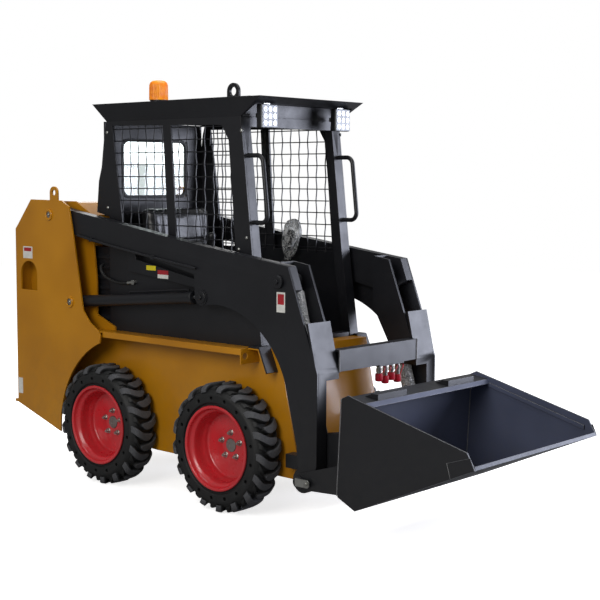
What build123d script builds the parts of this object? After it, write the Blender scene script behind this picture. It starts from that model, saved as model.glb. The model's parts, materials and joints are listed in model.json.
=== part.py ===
"""Compact skid steer loader: four driven wheels on a narrow welded body, a cab with
mesh side windows, rear uprights that carry two lift arms, and a general purpose bucket.

Lengths are in millimetres. +X points forward, +Y to the machine's left, +Z up.
The origin lies on the ground, below the middle of the whole machine."""
from build123d import *
import math
import os

os.makedirs("parts", exist_ok=True)

# Wheels and axles
wheelbase = 807.0
front_axle_x = 50.0
tyre_radius = 290.0
tyre_width = 145.0
tyre_outer_y = 452.0
tyre_bead_radius = 180.3
tyre_shoulder = 12.0
tyre_side_round = 36.0
tyre_wall_drop = 22.0
rim_seat_radius = 180.0
rim_flange_radius = 190.0
rim_flange_width = 11.0
rim_inner_step = 4.0
rim_lip_radius = 176.0
rim_well_radius = 158.0
rim_wall = 10.0
rim_dish_round = 30.0
disc_inset = 105.0
disc_radius = 148.0
disc_thickness = 10.0
hub_radius = 58.0
hub_length = 48.0
spindle_radius = 30.0
spindle_proud = 4.0
housing_radius = 54.0
axle_side_gap = 1.0
running_gap = 0.3

# Lower body
body_half = 298.0
body_wall = 8.0
body_length = 1785.0
body_bottom_z = 180.0
ledge_top_z = 740.0
floor_sheet = 6.0
rear_sill_height = 90.0
ledge_half = 415.0
ledge_sheet = 6.0
ledge_lip_height = 28.0
ledge_front_x = 177.0
ledge_end_drop = 68.0
ledge_hole_radius = 15.0
ledge_hole_y = 388.0
guard_sheet = 6.0
guard_width = 70.0
guard_depth = 58.0
guard_drop = 104.0
guard_kick = 45.0

# Rear uprights
upright_rear_x = -1411.0
upright_bottom_z = 205.0
upright_length = 661.0
upright_height = 1160.0
upright_outer_y = 430.0
upright_inner_y = 333.0
upright_plate = 10.0
sill_web_depth = 36.0
tail_length = 24.0
tail_height = 14.0
tail_width = 26.0
window_width = 134.0
window_height = 147.0
window_x_share = 0.162
window_z_share = 0.67
ear_width = 62.0
ear_height = 66.0
ear_hole_radius = 14.0
boss_radius = 36.0
boss_proud = 8.0

# Lift arms
pivot_x = -1133.0
pivot_z = 1291.0
arm_reach = 1665.0
arm_drop = 1074.0
arm_outer_y = 412.0
arm_plate = 10.0
beam_inner_y = 360.0
leg_inner_y = 350.0
cheek_inner_y = 270.0
cheek_plate = 12.0
arm_end_radius = 56.0
pivot_pin_radius = 22.0
hinge_pin_radius = 20.0
hinge_boss_radius = 52.0
crossbar_depth = 50.0
crossbar_height = 92.0
crossbar_bottom_z = 668.0
crossbar_x = 560.0
crossbar_wall = 8.0

# Cylinders
lift_base_x = -976.0
lift_base_z = 869.0
lift_eye_x = -70.0
lift_eye_z = 948.0
lift_y = 384.0
lift_barrel_radius = 25.0
lift_barrel_length = 836.0
lift_rod_radius = 14.0
lift_pin_radius = 16.0
lift_eye_radius = 32.0
lift_eye_width = 28.0
lug_plate = 8.0
eye_side_gap = 2.0
tilt_top_x = 396.0
tilt_top_z = 1043.0
tilt_y = 312.0
tilt_barrel_radius = 24.0
tilt_barrel_length = 545.0
tilt_rod_radius = 13.0
tilt_pin_radius = 15.0
tilt_eye_radius = 29.0
tilt_eye_width = 36.0
rod_bore_gap = 0.3

# Bucket and its hitch
bucket_half = 457.0
bucket_plate = 8.0
bucket_length = 886.0
bucket_height = 398.0
cutting_edge_length = 110.0
cutting_edge_thickness = 16.0
hitch_pin_x = 45.0
hitch_pin_z = 159.0
hitch_plate = 10.0
hitch_ear_y = 418.0
hitch_half = 428.0
hitch_lug_radius = 34.0
hitch_ear_rise = 102.0
pin_head_radius = 27.0
pin_head_length = 14.0

# Cab
cab_half = 332.0
cab_sheet = 10.0
cab_rear_x = -882.0
cab_length = 1104.0
cab_height = 1003.0
pillar_depth = 50.0
pillar_width = 48.0
header_height = 45.0
header_depth = 43.0
sill_bar_height = 20.0
centre_post_width = 44.0
centre_post_x_share = 0.46
centre_post_lean = 44.0
mesh_pitch = 56.0
mesh_wire = 7.0
mesh_sheet = 4.0
roof_height = 83.0
roof_half = 350.0
roof_rear_x = -889.0
roof_front_x = 227.0
roof_sheet = 8.0
roof_lip = 27.0
hatch_half = 250.0
hatch_rear_x = -520.0
hatch_front_x = 70.0
hatch_height = 10.0
lifting_eye_x = -275.0
lifting_eye_width = 78.0
lifting_eye_height = 95.0
lifting_eye_plate = 14.0
lifting_eye_bore = 21.0
rear_wall_x = -838.0
bulkhead_x = -790.0
bulkhead_drop = 90.0
rear_window_half = 214.0
rear_window_drop = 83.0
rear_window_height = 280.0
glass_sheet = 5.0
seat_shelf_z = 900.0
seat_shelf_front_x = -150.0
footwell_z = 480.0
footwell_front_gap = 9.0
cushion_length = 430.0
cushion_height = 85.0
cushion_half = 215.0
cushion_inset = 20.0
seat_back_height = 440.0
seat_back_depth = 90.0
soft_gap = 0.3
console_half_width = 33.0
console_y = 268.0
console_length = 340.0
console_height = 130.0
console_front_x = -100.0
lever_radius = 8.0
lever_height = 190.0
lever_lean = 50.0
knob_radius = 20.0
lamp_x = 190.0
lamp_y = 249.0
lamp_drop = 1.0
lamp_size = 102.0
lamp_depth = 46.0
lamp_stalk = 24.0
beacon_x = -800.0
beacon_base_radius = 44.0
beacon_base_height = 34.0
beacon_lens_radius = 47.0
beacon_lens_height = 97.0
beacon_round_share = 0.45
handle_y = 303.0
handle_drop = 170.0
handle_span = 291.0
handle_reach = 85.0
handle_radius = 10.0
handle_bend = 34.0

# Engine bay
engine_rear_x = -1330.0
engine_length = 370.0
engine_half = 220.0
engine_bottom_z = 430.0
engine_height = 520.0
rail_depth = 60.0
hood_sheet = 5.0
hood_rear_z = 1222.0
hood_top_z = 1350.0
hood_front_x = -914.0
hood_front_z = 1292.0
louvre_rear_x = -925.0
louvre_length = 130.0
louvre_height = 398.0
louvre_sheet = 8.0
louvre_count = 7
louvre_slot = 12.0
louvre_margin = 21.5
door_half = 322.0
door_sheet = 20.0
door_height = 770.0
door_gap = 7.0
door_seat_gap = 3.0
door_hinge_radius = 8.0
door_hinge_offset = 10.0
knuckle_length = 40.0
knuckle_row_shares = (0.2, 0.75)
leaf_length = 46.0
leaf_sheet = 6.0
knuckle_gap = 0.4
knuckle_clear = 5.0

overrun = 5.0

SIDES = (("right", -1), ("left", 1))
AXLES = (("front", front_axle_x), ("rear", front_axle_x - wheelbase))

# Outlines seen from the side, as (share of length, share of height) of the piece.
# The arm's shares run from its pivot: forward along its reach, and down along its drop.
arm_top_shares = [(0, -0.048), (0.095, -0.021), (0.565, 0.091), (0.948, 0.169), (1.048, 0.578),
                  (1.046, 0.933), (1.031, 1.0)]
arm_rear_shares = [(0.986, 0.97), (0.98, 0.872), (0.94, 0.625)]
arm_arch_share = (0.838, 0.417)
arm_under_shares = [(0.692, 0.344), (0.632, 0.353), (0.613, 0.327), (0.61, 0.226),
                    (0.382, 0.155), (0.098, 0.085), (0, 0.058)]
beam_front_shares = [(0.948, 0.169), (0.97, 0.26), (0.905, 0.32), (0.61, 0.226)]
cheek_shares = [(0.895, 0.157), (0.948, 0.169), (1.044, 0.562), (1.044, 0.606), (0.981, 0.606), (0.895, 0.37)]
cover_shares = [(1.016, 0.383), (1.046, 0.578), (1.046, 0.606)]
leg_shares = [(0.945, 0.578), (1.046, 0.578), (1.046, 0.933), (1.031, 1.0), (0.986, 0.97), (0.98, 0.872)]
upright_outer_shares = [(0, 0.103), (0, 0.871), (0.033, 0.891), (0.198, 1.0), (0.57, 0.998), (0.654, 0.973),
                        (0.708, 0.829), (0.794, 0.575), (0.805, 0.541), (0.885, 0.493), (0.977, 0.464),
                        (1.0, 0.443), (0.992, 0.413)]
upright_inner_shares = [(0, 0), (0, 0.776), (0.175, 0.989), (0.553, 0.989), (0.735, 0.894),
                        (0.792, 0.379), (0.792, 0.112), (0.994, 0.03), (0.997, 0)]
arch_shares = [(0.714, 0.303), (0.528, 0.009)]
body_side_shares = [(0, 1.0), (0, 0.268), (0.204, 0.045), (0.501, 0.005), (0.993, 0),
                    (1.0, 0.2), (0.965, 0.668), (0.944, 1.0)]
cab_side_shares = [(0.083, 0), (0.083, 0.548), (0, 0.566), (0.014, 0.716), (0.034, 0.783), (0.056, 0.952),
                   (0.069, 1.0), (0.884, 1.0), (0.947, 0.398), (1.0, 0)]
cab_window_shares = [(0.087, 0.979), (0.778, 0.965), (0.817, 0.897), (0.859, 0.389), (0.138, 0.389)]
bucket_side_shares = [(0.279, 0.962), (0.315, 1.0), (0.958, 0.628), (1.0, 0.467), (0.357, -0.166),
                      (0.256, -0.058)]
seat_back_shares = [(0, 0), (0, 0.22), (0.55, 1.0), (1.33, 1.0), (1.0, 0)]


def spot(shares, corner, size):
    """Turns (share, share) pairs into side-view points from a corner and two sizes."""
    return [(corner[0] + along * size[0], corner[1] + up * size[1]) for along, up in shares]


def side_plate(outline, y_one, y_two, mode=Mode.ADD):
    """A plate with a side-view outline, between two places across the machine."""
    low, high = min(y_one, y_two), max(y_one, y_two)
    with BuildSketch(Plane.XZ.offset(-low)) as face:
        with BuildLine():
            Polyline(*outline, close=True)
        make_face()
    extrude(face.sketch, amount=high - low, dir=(0, 1, 0), mode=mode)


def sheet_path(path, thickness):
    """The closed outline of a bent sheet: the path, and the same path moved to its right."""
    moved = []
    for index, point in enumerate(path):
        before = path[max(index - 1, 0)]
        after = path[min(index + 1, len(path) - 1)]
        turns = []
        for start, end in ((before, point), (point, after)):
            run = math.dist(start, end)
            if run > 0:
                turns.append(((end[1] - start[1]) / run, (start[0] - end[0]) / run))
        normal_x = sum(turn[0] for turn in turns) / len(turns)
        normal_z = sum(turn[1] for turn in turns) / len(turns)
        size = normal_x ** 2 + normal_z ** 2
        moved.append((point[0] + thickness * normal_x / size, point[1] + thickness * normal_z / size))
    return list(path) + moved[::-1]


def span_box(x_low, x_high, y_one, y_two, z_low, z_high, mode=Mode.ADD):
    """A box between two corners."""
    centre = ((x_low + x_high) / 2, (y_one + y_two) / 2, (z_low + z_high) / 2)
    with Locations(centre):
        Box(x_high - x_low, abs(y_two - y_one), z_high - z_low, mode=mode)


def cross_pin(x, z, radius, y_one, y_two, mode=Mode.ADD):
    """A round bar or hole that runs across the machine."""
    low, high = min(y_one, y_two), max(y_one, y_two)
    with BuildSketch(Plane.XZ.offset(-low)) as face:
        with Locations((x, z)):
            Circle(radius)
    extrude(face.sketch, amount=high - low, dir=(0, 1, 0), mode=mode)


def round_bar(start, end, radius, mode=Mode.ADD):
    """A round bar from one point in space to another."""
    run = Vector(*end) - Vector(*start)
    with BuildSketch(Plane(origin=start, z_dir=run)) as face:
        Circle(radius)
    extrude(face.sketch, amount=run.length, mode=mode)


def upright_bar(x, y, z_low, z_high, radius, mode=Mode.ADD):
    """A standing round bar."""
    with BuildSketch(Plane.XY.offset(z_low)) as face:
        with Locations((x, y)):
            Circle(radius)
    extrude(face.sketch, amount=z_high - z_low, mode=mode)


def write(part, node):
    """Labels a finished piece and writes it under its node's name."""
    part.label = node
    export_step(part, f"parts/{node}.step")


# Places worked out from the sizes above
arm_origin = (pivot_x, pivot_z)
arm_size = (arm_reach, -arm_drop)
hinge_x = pivot_x + arm_reach
hinge_z = pivot_z - arm_drop
body_height = ledge_top_z - body_bottom_z
body_rear_x = upright_rear_x + door_sheet + door_seat_gap
body_corner = (body_rear_x, body_bottom_z)
body_size = (body_length, body_height)
upright_corner = (upright_rear_x, upright_bottom_z)
upright_size = (upright_length, upright_height)
cab_corner = (cab_rear_x, ledge_top_z)
cab_size = (cab_length, cab_height)
bucket_corner = (hinge_x, hinge_z)
bucket_size = (bucket_length, bucket_height)
roof_low_z = ledge_top_z + cab_height
roof_top_z = roof_low_z + roof_height
rear_window_high_z = roof_low_z - rear_window_drop
rear_window_low_z = rear_window_high_z - rear_window_height
bulkhead_top_z = rear_window_low_z - bulkhead_drop
handle_high_z = roof_low_z - handle_drop
handle_low_z = handle_high_z - handle_span
lamp_z = roof_low_z - lamp_drop
tyre_inner_y = tyre_outer_y - tyre_width
body_outline = spot(body_side_shares, body_corner, body_size)
cab_outline = spot(cab_side_shares, cab_corner, cab_size)
pillar_top, pillar_knee, pillar_foot = cab_outline[7:10]
bucket_outline = spot(bucket_side_shares, bucket_corner, bucket_size)


# Lower body: two side walls, a bent belly sheet and a bent front sheet
with BuildPart() as body_sides:
    for _, side in SIDES:
        side_plate(body_outline, side * (body_half - body_wall), side * body_half)
write(body_sides.part, "body_side_walls")

inner_half = body_half - body_wall
belly_rear, belly_rise, belly_mid, belly_nose = body_outline[1:5]
sill_top = (belly_rear[0], belly_rear[1] + rear_sill_height)
belly_end = (belly_nose[0] - floor_sheet, belly_nose[1])
with BuildPart() as belly:
    belly_path = [sill_top, belly_rear, belly_rise, belly_mid, belly_end]
    side_plate(sheet_path(belly_path, -floor_sheet), -inner_half, inner_half)
write(belly.part, "belly_pan")

front_low, front_knee, front_high, front_top = body_outline[4:8]
cross_shelf_end = (pillar_foot[0] - pillar_depth, ledge_top_z)
with BuildPart() as nose:
    nose_path = [front_low, front_knee, front_high, front_top, cross_shelf_end]
    side_plate(sheet_path(nose_path, -floor_sheet), -inner_half, inner_half)
write(nose.part, "front_sheet")

# Ledges over the wheels, with a turned-down lip, a drilled end plate and a bent guard in front
upright_inside_y = upright_outer_y - upright_plate
shelf_step_x = upright_rear_x + upright_length
with BuildPart() as ledges:
    for _, side in SIDES:
        span_box(body_rear_x, ledge_front_x, side * body_half, side * ledge_half,
                 ledge_top_z - ledge_sheet, ledge_top_z)
        span_box(body_rear_x, shelf_step_x, side * ledge_half, side * upright_inside_y,
                 ledge_top_z - ledge_sheet, ledge_top_z)
        span_box(shelf_step_x, ledge_front_x, side * (ledge_half - ledge_sheet), side * ledge_half,
                 ledge_top_z - ledge_lip_height, ledge_top_z)
        span_box(ledge_front_x - ledge_sheet, ledge_front_x, side * body_half, side * ledge_half,
                 ledge_top_z - ledge_end_drop, ledge_top_z)
        hole_z = ledge_top_z - ledge_end_drop / 2
        with Locations(Location((ledge_front_x, side * ledge_hole_y, hole_z), (0, 90, 0))):
            Cylinder(ledge_hole_radius, 2 * (ledge_sheet + overrun), mode=Mode.SUBTRACT)
        guard_path = [(ledge_front_x, ledge_top_z), (ledge_front_x + guard_depth, ledge_top_z),
                      (ledge_front_x + guard_depth + guard_kick, ledge_top_z - guard_drop)]
        side_plate(sheet_path(guard_path, guard_sheet), side * body_half, side * (body_half + guard_width))
write(ledges.part, "side_ledges")

# Rear engine door, hung on the left upright
door_low_z = sill_top[1] + door_gap
door_high_z = door_low_z + door_height
hinge_axis_x = upright_rear_x - door_hinge_offset
hinge_axis_y = door_half + knuckle_clear
knuckle_rows = [door_low_z + door_height * share for share in knuckle_row_shares]
with BuildPart() as door:
    span_box(upright_rear_x, upright_rear_x + door_sheet, -door_half, door_half, door_low_z, door_high_z)
    for row_z in knuckle_rows:
        span_box(upright_rear_x - leaf_sheet, upright_rear_x, hinge_axis_y - leaf_length, door_half,
                 row_z, row_z + knuckle_length)
        span_box(hinge_axis_x, upright_rear_x - leaf_sheet / 2, hinge_axis_y - 2 * door_hinge_radius,
                 hinge_axis_y, row_z, row_z + knuckle_length)
        upright_bar(hinge_axis_x, hinge_axis_y, row_z, row_z + knuckle_length, door_hinge_radius)
write(door.part, "rear_door")

# Rear uprights: arched outer plates with a window, pivot bosses and a lifting ear
upright_rest = spot(upright_outer_shares, upright_corner, upright_size)[:-1]
arch_top = spot(upright_outer_shares, upright_corner, upright_size)[-1]
arch_mid, arch_low = spot(arch_shares, upright_corner, upright_size)
window_x = upright_rear_x + window_x_share * upright_length
window_z = upright_bottom_z + window_z_share * upright_height
window_round_z = window_z + window_height / 2 - window_width / 2
web_low_z, web_high_z = upright_rest[0][1], upright_rest[1][1]
ear_x = (upright_rest[3][0] + upright_rest[4][0]) / 2 + ear_width
ear_low_z = upright_bottom_z + upright_height
ear_top = ear_low_z + ear_height - ear_width / 2
UPRIGHT_PINS = ((pivot_x, pivot_z, pivot_pin_radius), (lift_base_x, lift_base_z, lift_pin_radius))
with BuildPart() as outer_plates:
    for _, side in SIDES:
        outer_y, inside_y = side * upright_outer_y, side * upright_inside_y
        cut_low_y, cut_high_y = inside_y - side * overrun, outer_y + side * overrun
        with BuildSketch(Plane.XZ.offset(-outer_y)) as outer_face:
            with BuildLine():
                ThreePointArc(arch_top, arch_mid, arch_low)
                Polyline(arch_low, *upright_rest, arch_top)
            make_face()
        extrude(outer_face.sketch, amount=upright_plate, dir=(0, -side, 0))
        for pin_x, pin_z, _ in UPRIGHT_PINS:
            cross_pin(pin_x, pin_z, boss_radius, outer_y, outer_y + side * boss_proud)
        span_box(ear_x - ear_width / 2, ear_x + ear_width / 2, inside_y, outer_y, ear_low_z - overrun, ear_top)
        cross_pin(ear_x, ear_top, ear_width / 2, inside_y, outer_y)
        cross_pin(ear_x, ear_top, ear_hole_radius, cut_low_y, cut_high_y, mode=Mode.SUBTRACT)
        span_box(window_x - window_width / 2, window_x + window_width / 2, cut_low_y, cut_high_y,
                 window_z - window_height / 2, window_round_z, mode=Mode.SUBTRACT)
        cross_pin(window_x, window_round_z, window_width / 2, cut_low_y, cut_high_y, mode=Mode.SUBTRACT)
        span_box(upright_rear_x - tail_length, upright_rear_x, outer_y - side * tail_width, outer_y,
                 web_low_z, web_low_z + tail_height)
write(outer_plates.part, "upright_outer_plates")

# Inner plates that stand on the ledges, and the pins between the two plates
inner_corner = (upright_rear_x + upright_plate, ledge_top_z)
inner_size = (upright_length, ear_low_z - ledge_top_z)
with BuildPart() as inner_plates:
    for _, side in SIDES:
        side_plate(spot(upright_inner_shares, inner_corner, inner_size), side * upright_inner_y,
                   side * (upright_inner_y + upright_plate))
write(inner_plates.part, "upright_inner_plates")

with BuildPart() as pins:
    for _, side in SIDES:
        for pin_x, pin_z, pin_radius in UPRIGHT_PINS:
            cross_pin(pin_x, pin_z, pin_radius, side * (upright_inner_y + upright_plate),
                      side * upright_inside_y)
write(pins.part, "upright_pins")

# Rear webs that close the uprights' backs; the left one carries the door's fixed hinge leaves
with BuildPart() as rear_webs:
    for name, side in SIDES:
        span_box(upright_rear_x, upright_rear_x + upright_plate, side * upright_inner_y,
                 side * upright_inside_y, web_low_z, web_high_z)
        span_box(upright_rear_x, upright_rear_x + sill_web_depth, side * body_half, side * upright_inside_y,
                 web_low_z, web_low_z + rear_sill_height)
    for row_z in knuckle_rows:
        fixed_low = row_z + knuckle_length + knuckle_gap
        span_box(upright_rear_x - leaf_sheet, upright_rear_x, hinge_axis_y, hinge_axis_y + leaf_length,
                 fixed_low, fixed_low + knuckle_length)
        span_box(hinge_axis_x, upright_rear_x - leaf_sheet / 2, hinge_axis_y,
                 hinge_axis_y + 2 * door_hinge_radius, fixed_low, fixed_low + knuckle_length)
        upright_bar(hinge_axis_x, hinge_axis_y, fixed_low, fixed_low + knuckle_length, door_hinge_radius)
write(rear_webs.part, "upright_rear_webs")

# Engine cover between the uprights, engine block on its rails, louvred side panels
with BuildPart() as hood:
    hood_path = [(body_rear_x, hood_rear_z), (upright_rest[3][0], hood_top_z),
                 (upright_rest[4][0], hood_top_z), (hood_front_x, hood_front_z),
                 (hood_front_x, ledge_top_z + louvre_height + overrun)]
    side_plate(sheet_path(hood_path, hood_sheet), -upright_inner_y, upright_inner_y)
write(hood.part, "engine_cover")

with BuildPart() as engine:
    span_box(engine_rear_x, engine_rear_x + engine_length, -engine_half, engine_half,
             engine_bottom_z, engine_bottom_z + engine_height)
    for rail_x in (engine_rear_x, engine_rear_x + engine_length - rail_depth):
        span_box(rail_x, rail_x + rail_depth, -inner_half, inner_half,
                 engine_bottom_z - rail_depth, engine_bottom_z)
write(engine.part, "engine_block")

with BuildPart() as louvres:
    louvre_pitch = louvre_height / (louvre_count + 1)
    for _, side in SIDES:
        panel_y = side * body_half
        span_box(louvre_rear_x, louvre_rear_x + louvre_length, panel_y, panel_y + side * louvre_sheet,
                 ledge_top_z, ledge_top_z + louvre_height)
        for count in range(louvre_count):
            slot_z = ledge_top_z + louvre_pitch * (count + 1)
            span_box(louvre_rear_x + louvre_margin, louvre_rear_x + louvre_length - louvre_margin,
                     panel_y - side * overrun, panel_y + side * (louvre_sheet + overrun),
                     slot_z - louvre_slot / 2, slot_z + louvre_slot / 2, mode=Mode.SUBTRACT)
write(louvres.part, "louvre_panels")

# Cab: side panels with window cuts, wire mesh, front frame with grab handles, rear wall and glass, roof
window_outline = spot(cab_window_shares, cab_corner, cab_size)
post_x = cab_rear_x + centre_post_x_share * cab_length
window_low_z = window_outline[3][1]
window_high_z = window_outline[0][1]
for name, side in SIDES:
    inner_y = side * (cab_half - cab_sheet)
    with BuildPart() as cab_side:
        side_plate(cab_outline, inner_y, side * cab_half)
        side_plate(window_outline, inner_y - side * overrun, side * (cab_half + overrun), mode=Mode.SUBTRACT)
        post_outline = [(post_x - centre_post_width / 2, window_high_z + overrun),
                        (post_x + centre_post_width / 2, window_high_z + overrun),
                        (post_x + centre_post_width / 2 + centre_post_lean, window_low_z - overrun),
                        (post_x - centre_post_width / 2 + centre_post_lean, window_low_z - overrun)]
        side_plate(post_outline, inner_y, side * cab_half)
    write(cab_side.part, f"cab_side_{name}")

mesh_left_x = window_outline[0][0]
mesh_right_x = window_outline[3][0]
mesh_columns = int((mesh_right_x - mesh_left_x) / mesh_pitch)
mesh_rows = int((window_high_z - window_low_z) / mesh_pitch)
mesh_centre = ((mesh_left_x + mesh_right_x) / 2, (window_low_z + window_high_z) / 2)
with BuildPart() as meshes:
    for _, side in SIDES:
        with BuildSketch(Plane.XZ.offset(-side * (cab_half - cab_sheet))) as wires:
            with BuildLine():
                Polyline(*window_outline, close=True)
            make_face()
            offset(amount=mesh_wire)
            with Locations(mesh_centre):
                with GridLocations(mesh_pitch, mesh_pitch, mesh_columns, mesh_rows):
                    Rectangle(mesh_pitch - mesh_wire, mesh_pitch - mesh_wire, mode=Mode.SUBTRACT)
        extrude(wires.sketch, amount=mesh_sheet, dir=(0, -side, 0))
write(meshes.part, "window_meshes")


def pillar_front_x(z):
    """The front of the pillar at a height."""
    share = (z - pillar_knee[1]) / (pillar_top[1] - pillar_knee[1])
    return pillar_knee[0] + share * (pillar_top[0] - pillar_knee[0])


with BuildPart() as front_frame:
    pillar_outer_y = cab_half - cab_sheet
    pillar_inner_y = pillar_outer_y - pillar_width
    pillar_outline = [pillar_top, pillar_knee, pillar_foot]
    pillar_outline += [(x - pillar_depth, z) for x, z in reversed(pillar_outline)]
    for _, side in SIDES:
        side_plate(pillar_outline, side * pillar_inner_y, side * pillar_outer_y)
    span_box(pillar_top[0] - header_depth, pillar_top[0], -pillar_inner_y, pillar_inner_y,
             roof_low_z - header_height, roof_low_z)
    span_box(pillar_foot[0] - pillar_depth, pillar_foot[0] - overrun, -pillar_inner_y, pillar_inner_y,
             ledge_top_z, ledge_top_z + sill_bar_height)
    for _, side in SIDES:
        high_x, low_x = pillar_front_x(handle_high_z), pillar_front_x(handle_low_z)
        with BuildLine():
            FilletPolyline((high_x - overrun, side * handle_y, handle_high_z),
                           (high_x + handle_reach, side * handle_y, handle_high_z),
                           (low_x + handle_reach, side * handle_y, handle_low_z),
                           (low_x - overrun, side * handle_y, handle_low_z), radius=handle_bend)
        with BuildSketch(Plane(origin=(high_x - overrun, side * handle_y, handle_high_z), z_dir=(1, 0, 0))):
            Circle(handle_radius)
        sweep()
write(front_frame.part, "cab_front_frame")

with BuildPart() as rear_wall:
    wall_path = [(rear_wall_x, roof_low_z), (rear_wall_x, bulkhead_top_z), (bulkhead_x, bulkhead_top_z),
                 (bulkhead_x, ledge_top_z)]
    wall_half = cab_half - cab_sheet
    side_plate(sheet_path(wall_path, -cab_sheet), -wall_half, wall_half)
    span_box(rear_wall_x - overrun, rear_wall_x + cab_sheet + overrun, -rear_window_half, rear_window_half,
             rear_window_low_z, rear_window_high_z, mode=Mode.SUBTRACT)
write(rear_wall.part, "cab_rear_wall")

with BuildPart() as rear_glass:
    span_box(rear_wall_x, rear_wall_x + glass_sheet, -rear_window_half, rear_window_half,
             rear_window_low_z, rear_window_high_z)
write(rear_glass.part, "rear_glass")

header_front_x = pillar_top[0]
roof_low_rear_x = cab_outline[6][0]
with BuildPart() as roof:
    with BuildSketch(Plane.XY.offset(roof_low_z)):
        with Locations(((roof_low_rear_x + header_front_x) / 2, 0)):
            Rectangle(header_front_x - roof_low_rear_x, 2 * cab_half)
    with BuildSketch(Plane.XY.offset(roof_top_z)):
        with Locations(((roof_rear_x + roof_front_x) / 2, 0)):
            Rectangle(roof_front_x - roof_rear_x, 2 * roof_half)
    loft()
    cavity_half = cab_half - cab_sheet
    span_box(roof_low_rear_x + roof_sheet, header_front_x - roof_sheet, -cavity_half, cavity_half,
             roof_low_z - overrun, roof_top_z - roof_sheet, mode=Mode.SUBTRACT)
    span_box(header_front_x, roof_front_x + overrun, -cavity_half, cavity_half,
             roof_low_z - overrun, roof_top_z - roof_lip, mode=Mode.SUBTRACT)
    span_box(hatch_rear_x, hatch_front_x, -hatch_half, hatch_half, roof_top_z, roof_top_z + hatch_height)
    eye_y = lifting_eye_plate / 2
    eye_centre_z = roof_top_z + lifting_eye_height - lifting_eye_width / 2
    span_box(lifting_eye_x - lifting_eye_width / 2, lifting_eye_x + lifting_eye_width / 2, -eye_y, eye_y,
             roof_top_z, eye_centre_z)
    cross_pin(lifting_eye_x, eye_centre_z, lifting_eye_width / 2, -eye_y, eye_y)
    cross_pin(lifting_eye_x, eye_centre_z, lifting_eye_bore, -eye_y - overrun, eye_y + overrun,
              mode=Mode.SUBTRACT)
write(roof.part, "roof_panel")

# Cab floor: a seat shelf, a step down and the footwell
floor_half = cab_half - cab_sheet
front_slope = (front_knee[0] - front_high[0]) / (front_high[1] - front_knee[1])
footwell_front_x = front_knee[0] - front_slope * (footwell_z - front_knee[1]) - footwell_front_gap
with BuildPart() as cab_floor:
    shelf_path = [(bulkhead_x + cab_sheet, seat_shelf_z), (seat_shelf_front_x, seat_shelf_z),
                  (seat_shelf_front_x, ledge_top_z)]
    side_plate(sheet_path(shelf_path, floor_sheet), -floor_half, floor_half)
    well_path = [(seat_shelf_front_x, ledge_top_z + overrun), (seat_shelf_front_x, footwell_z),
                 (footwell_front_x, footwell_z)]
    side_plate(sheet_path(well_path, floor_sheet), -inner_half, inner_half)
write(cab_floor.part, "cab_floor")

# Seat and the two control consoles with their levers
cushion_front_x = seat_shelf_front_x - cushion_inset
cushion_rear_x = cushion_front_x - cushion_length
with BuildPart() as cushion:
    span_box(cushion_rear_x, cushion_front_x, -cushion_half, cushion_half,
             seat_shelf_z + soft_gap, seat_shelf_z + cushion_height)
write(cushion.part, "seat_cushion")

with BuildPart() as seat_back:
    back_corner = (cushion_rear_x - soft_gap, seat_shelf_z + soft_gap)
    back_size = (-seat_back_depth, seat_back_height)
    side_plate(spot(seat_back_shares, back_corner, back_size), -cushion_half, cushion_half)
write(seat_back.part, "seat_back")

with BuildPart() as controls:
    for _, side in SIDES:
        y_low, y_high = side * (console_y - console_half_width), side * (console_y + console_half_width)
        span_box(console_front_x - console_length, seat_shelf_front_x, y_low, y_high,
                 seat_shelf_z, seat_shelf_z + console_height)
        foot = (seat_shelf_front_x - lever_lean, side * console_y, seat_shelf_z + console_height - overrun)
        grip = (foot[0] + lever_lean, side * console_y, foot[2] + lever_height)
        round_bar(foot, grip, lever_radius)
        with Locations(grip):
            Sphere(knob_radius)
write(controls.part, "side_controls")

# Lamps and beacon
with BuildPart() as lamps:
    for _, side in SIDES:
        y_low, y_high = side * (lamp_y - lamp_size / 2), side * (lamp_y + lamp_size / 2)
        span_box(lamp_x - lamp_depth / 2, lamp_x + lamp_depth / 2, y_low, y_high,
                 lamp_z - lamp_size / 2, lamp_z + lamp_size / 2)
        span_box(header_front_x, lamp_x, side * (lamp_y - lamp_stalk / 2),
                 side * (lamp_y + lamp_stalk / 2), lamp_z - lamp_stalk, lamp_z)
write(lamps.part, "work_lamps")

with BuildPart() as beacon_base:
    upright_bar(beacon_x, 0, roof_top_z, roof_top_z + beacon_base_height, beacon_base_radius)
write(beacon_base.part, "beacon_base")

with BuildPart() as beacon_lens:
    lens_low_z = roof_top_z + beacon_base_height
    upright_bar(beacon_x, 0, lens_low_z, lens_low_z + beacon_lens_height, beacon_lens_radius)
    lens_rim = beacon_lens.edges().filter_by(GeomType.CIRCLE).sort_by(Axis.Z)[-1]
    fillet(lens_rim, beacon_round_share * beacon_lens_radius)
write(beacon_lens.part, "beacon_lens")


# Axles and wheels
disc_y = tyre_outer_y - disc_inset
hub_inner_y = disc_y - disc_thickness
spindle_end_y = hub_inner_y + hub_length + spindle_proud
with BuildPart() as axles:
    for _, axle_x in AXLES:
        for _, side in SIDES:
            cross_pin(axle_x, tyre_radius, housing_radius, side * body_half,
                      side * (hub_inner_y - axle_side_gap))
            cross_pin(axle_x, tyre_radius, spindle_radius, side * body_half, side * spindle_end_y)
write(axles.part, "axle_stubs")

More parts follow.
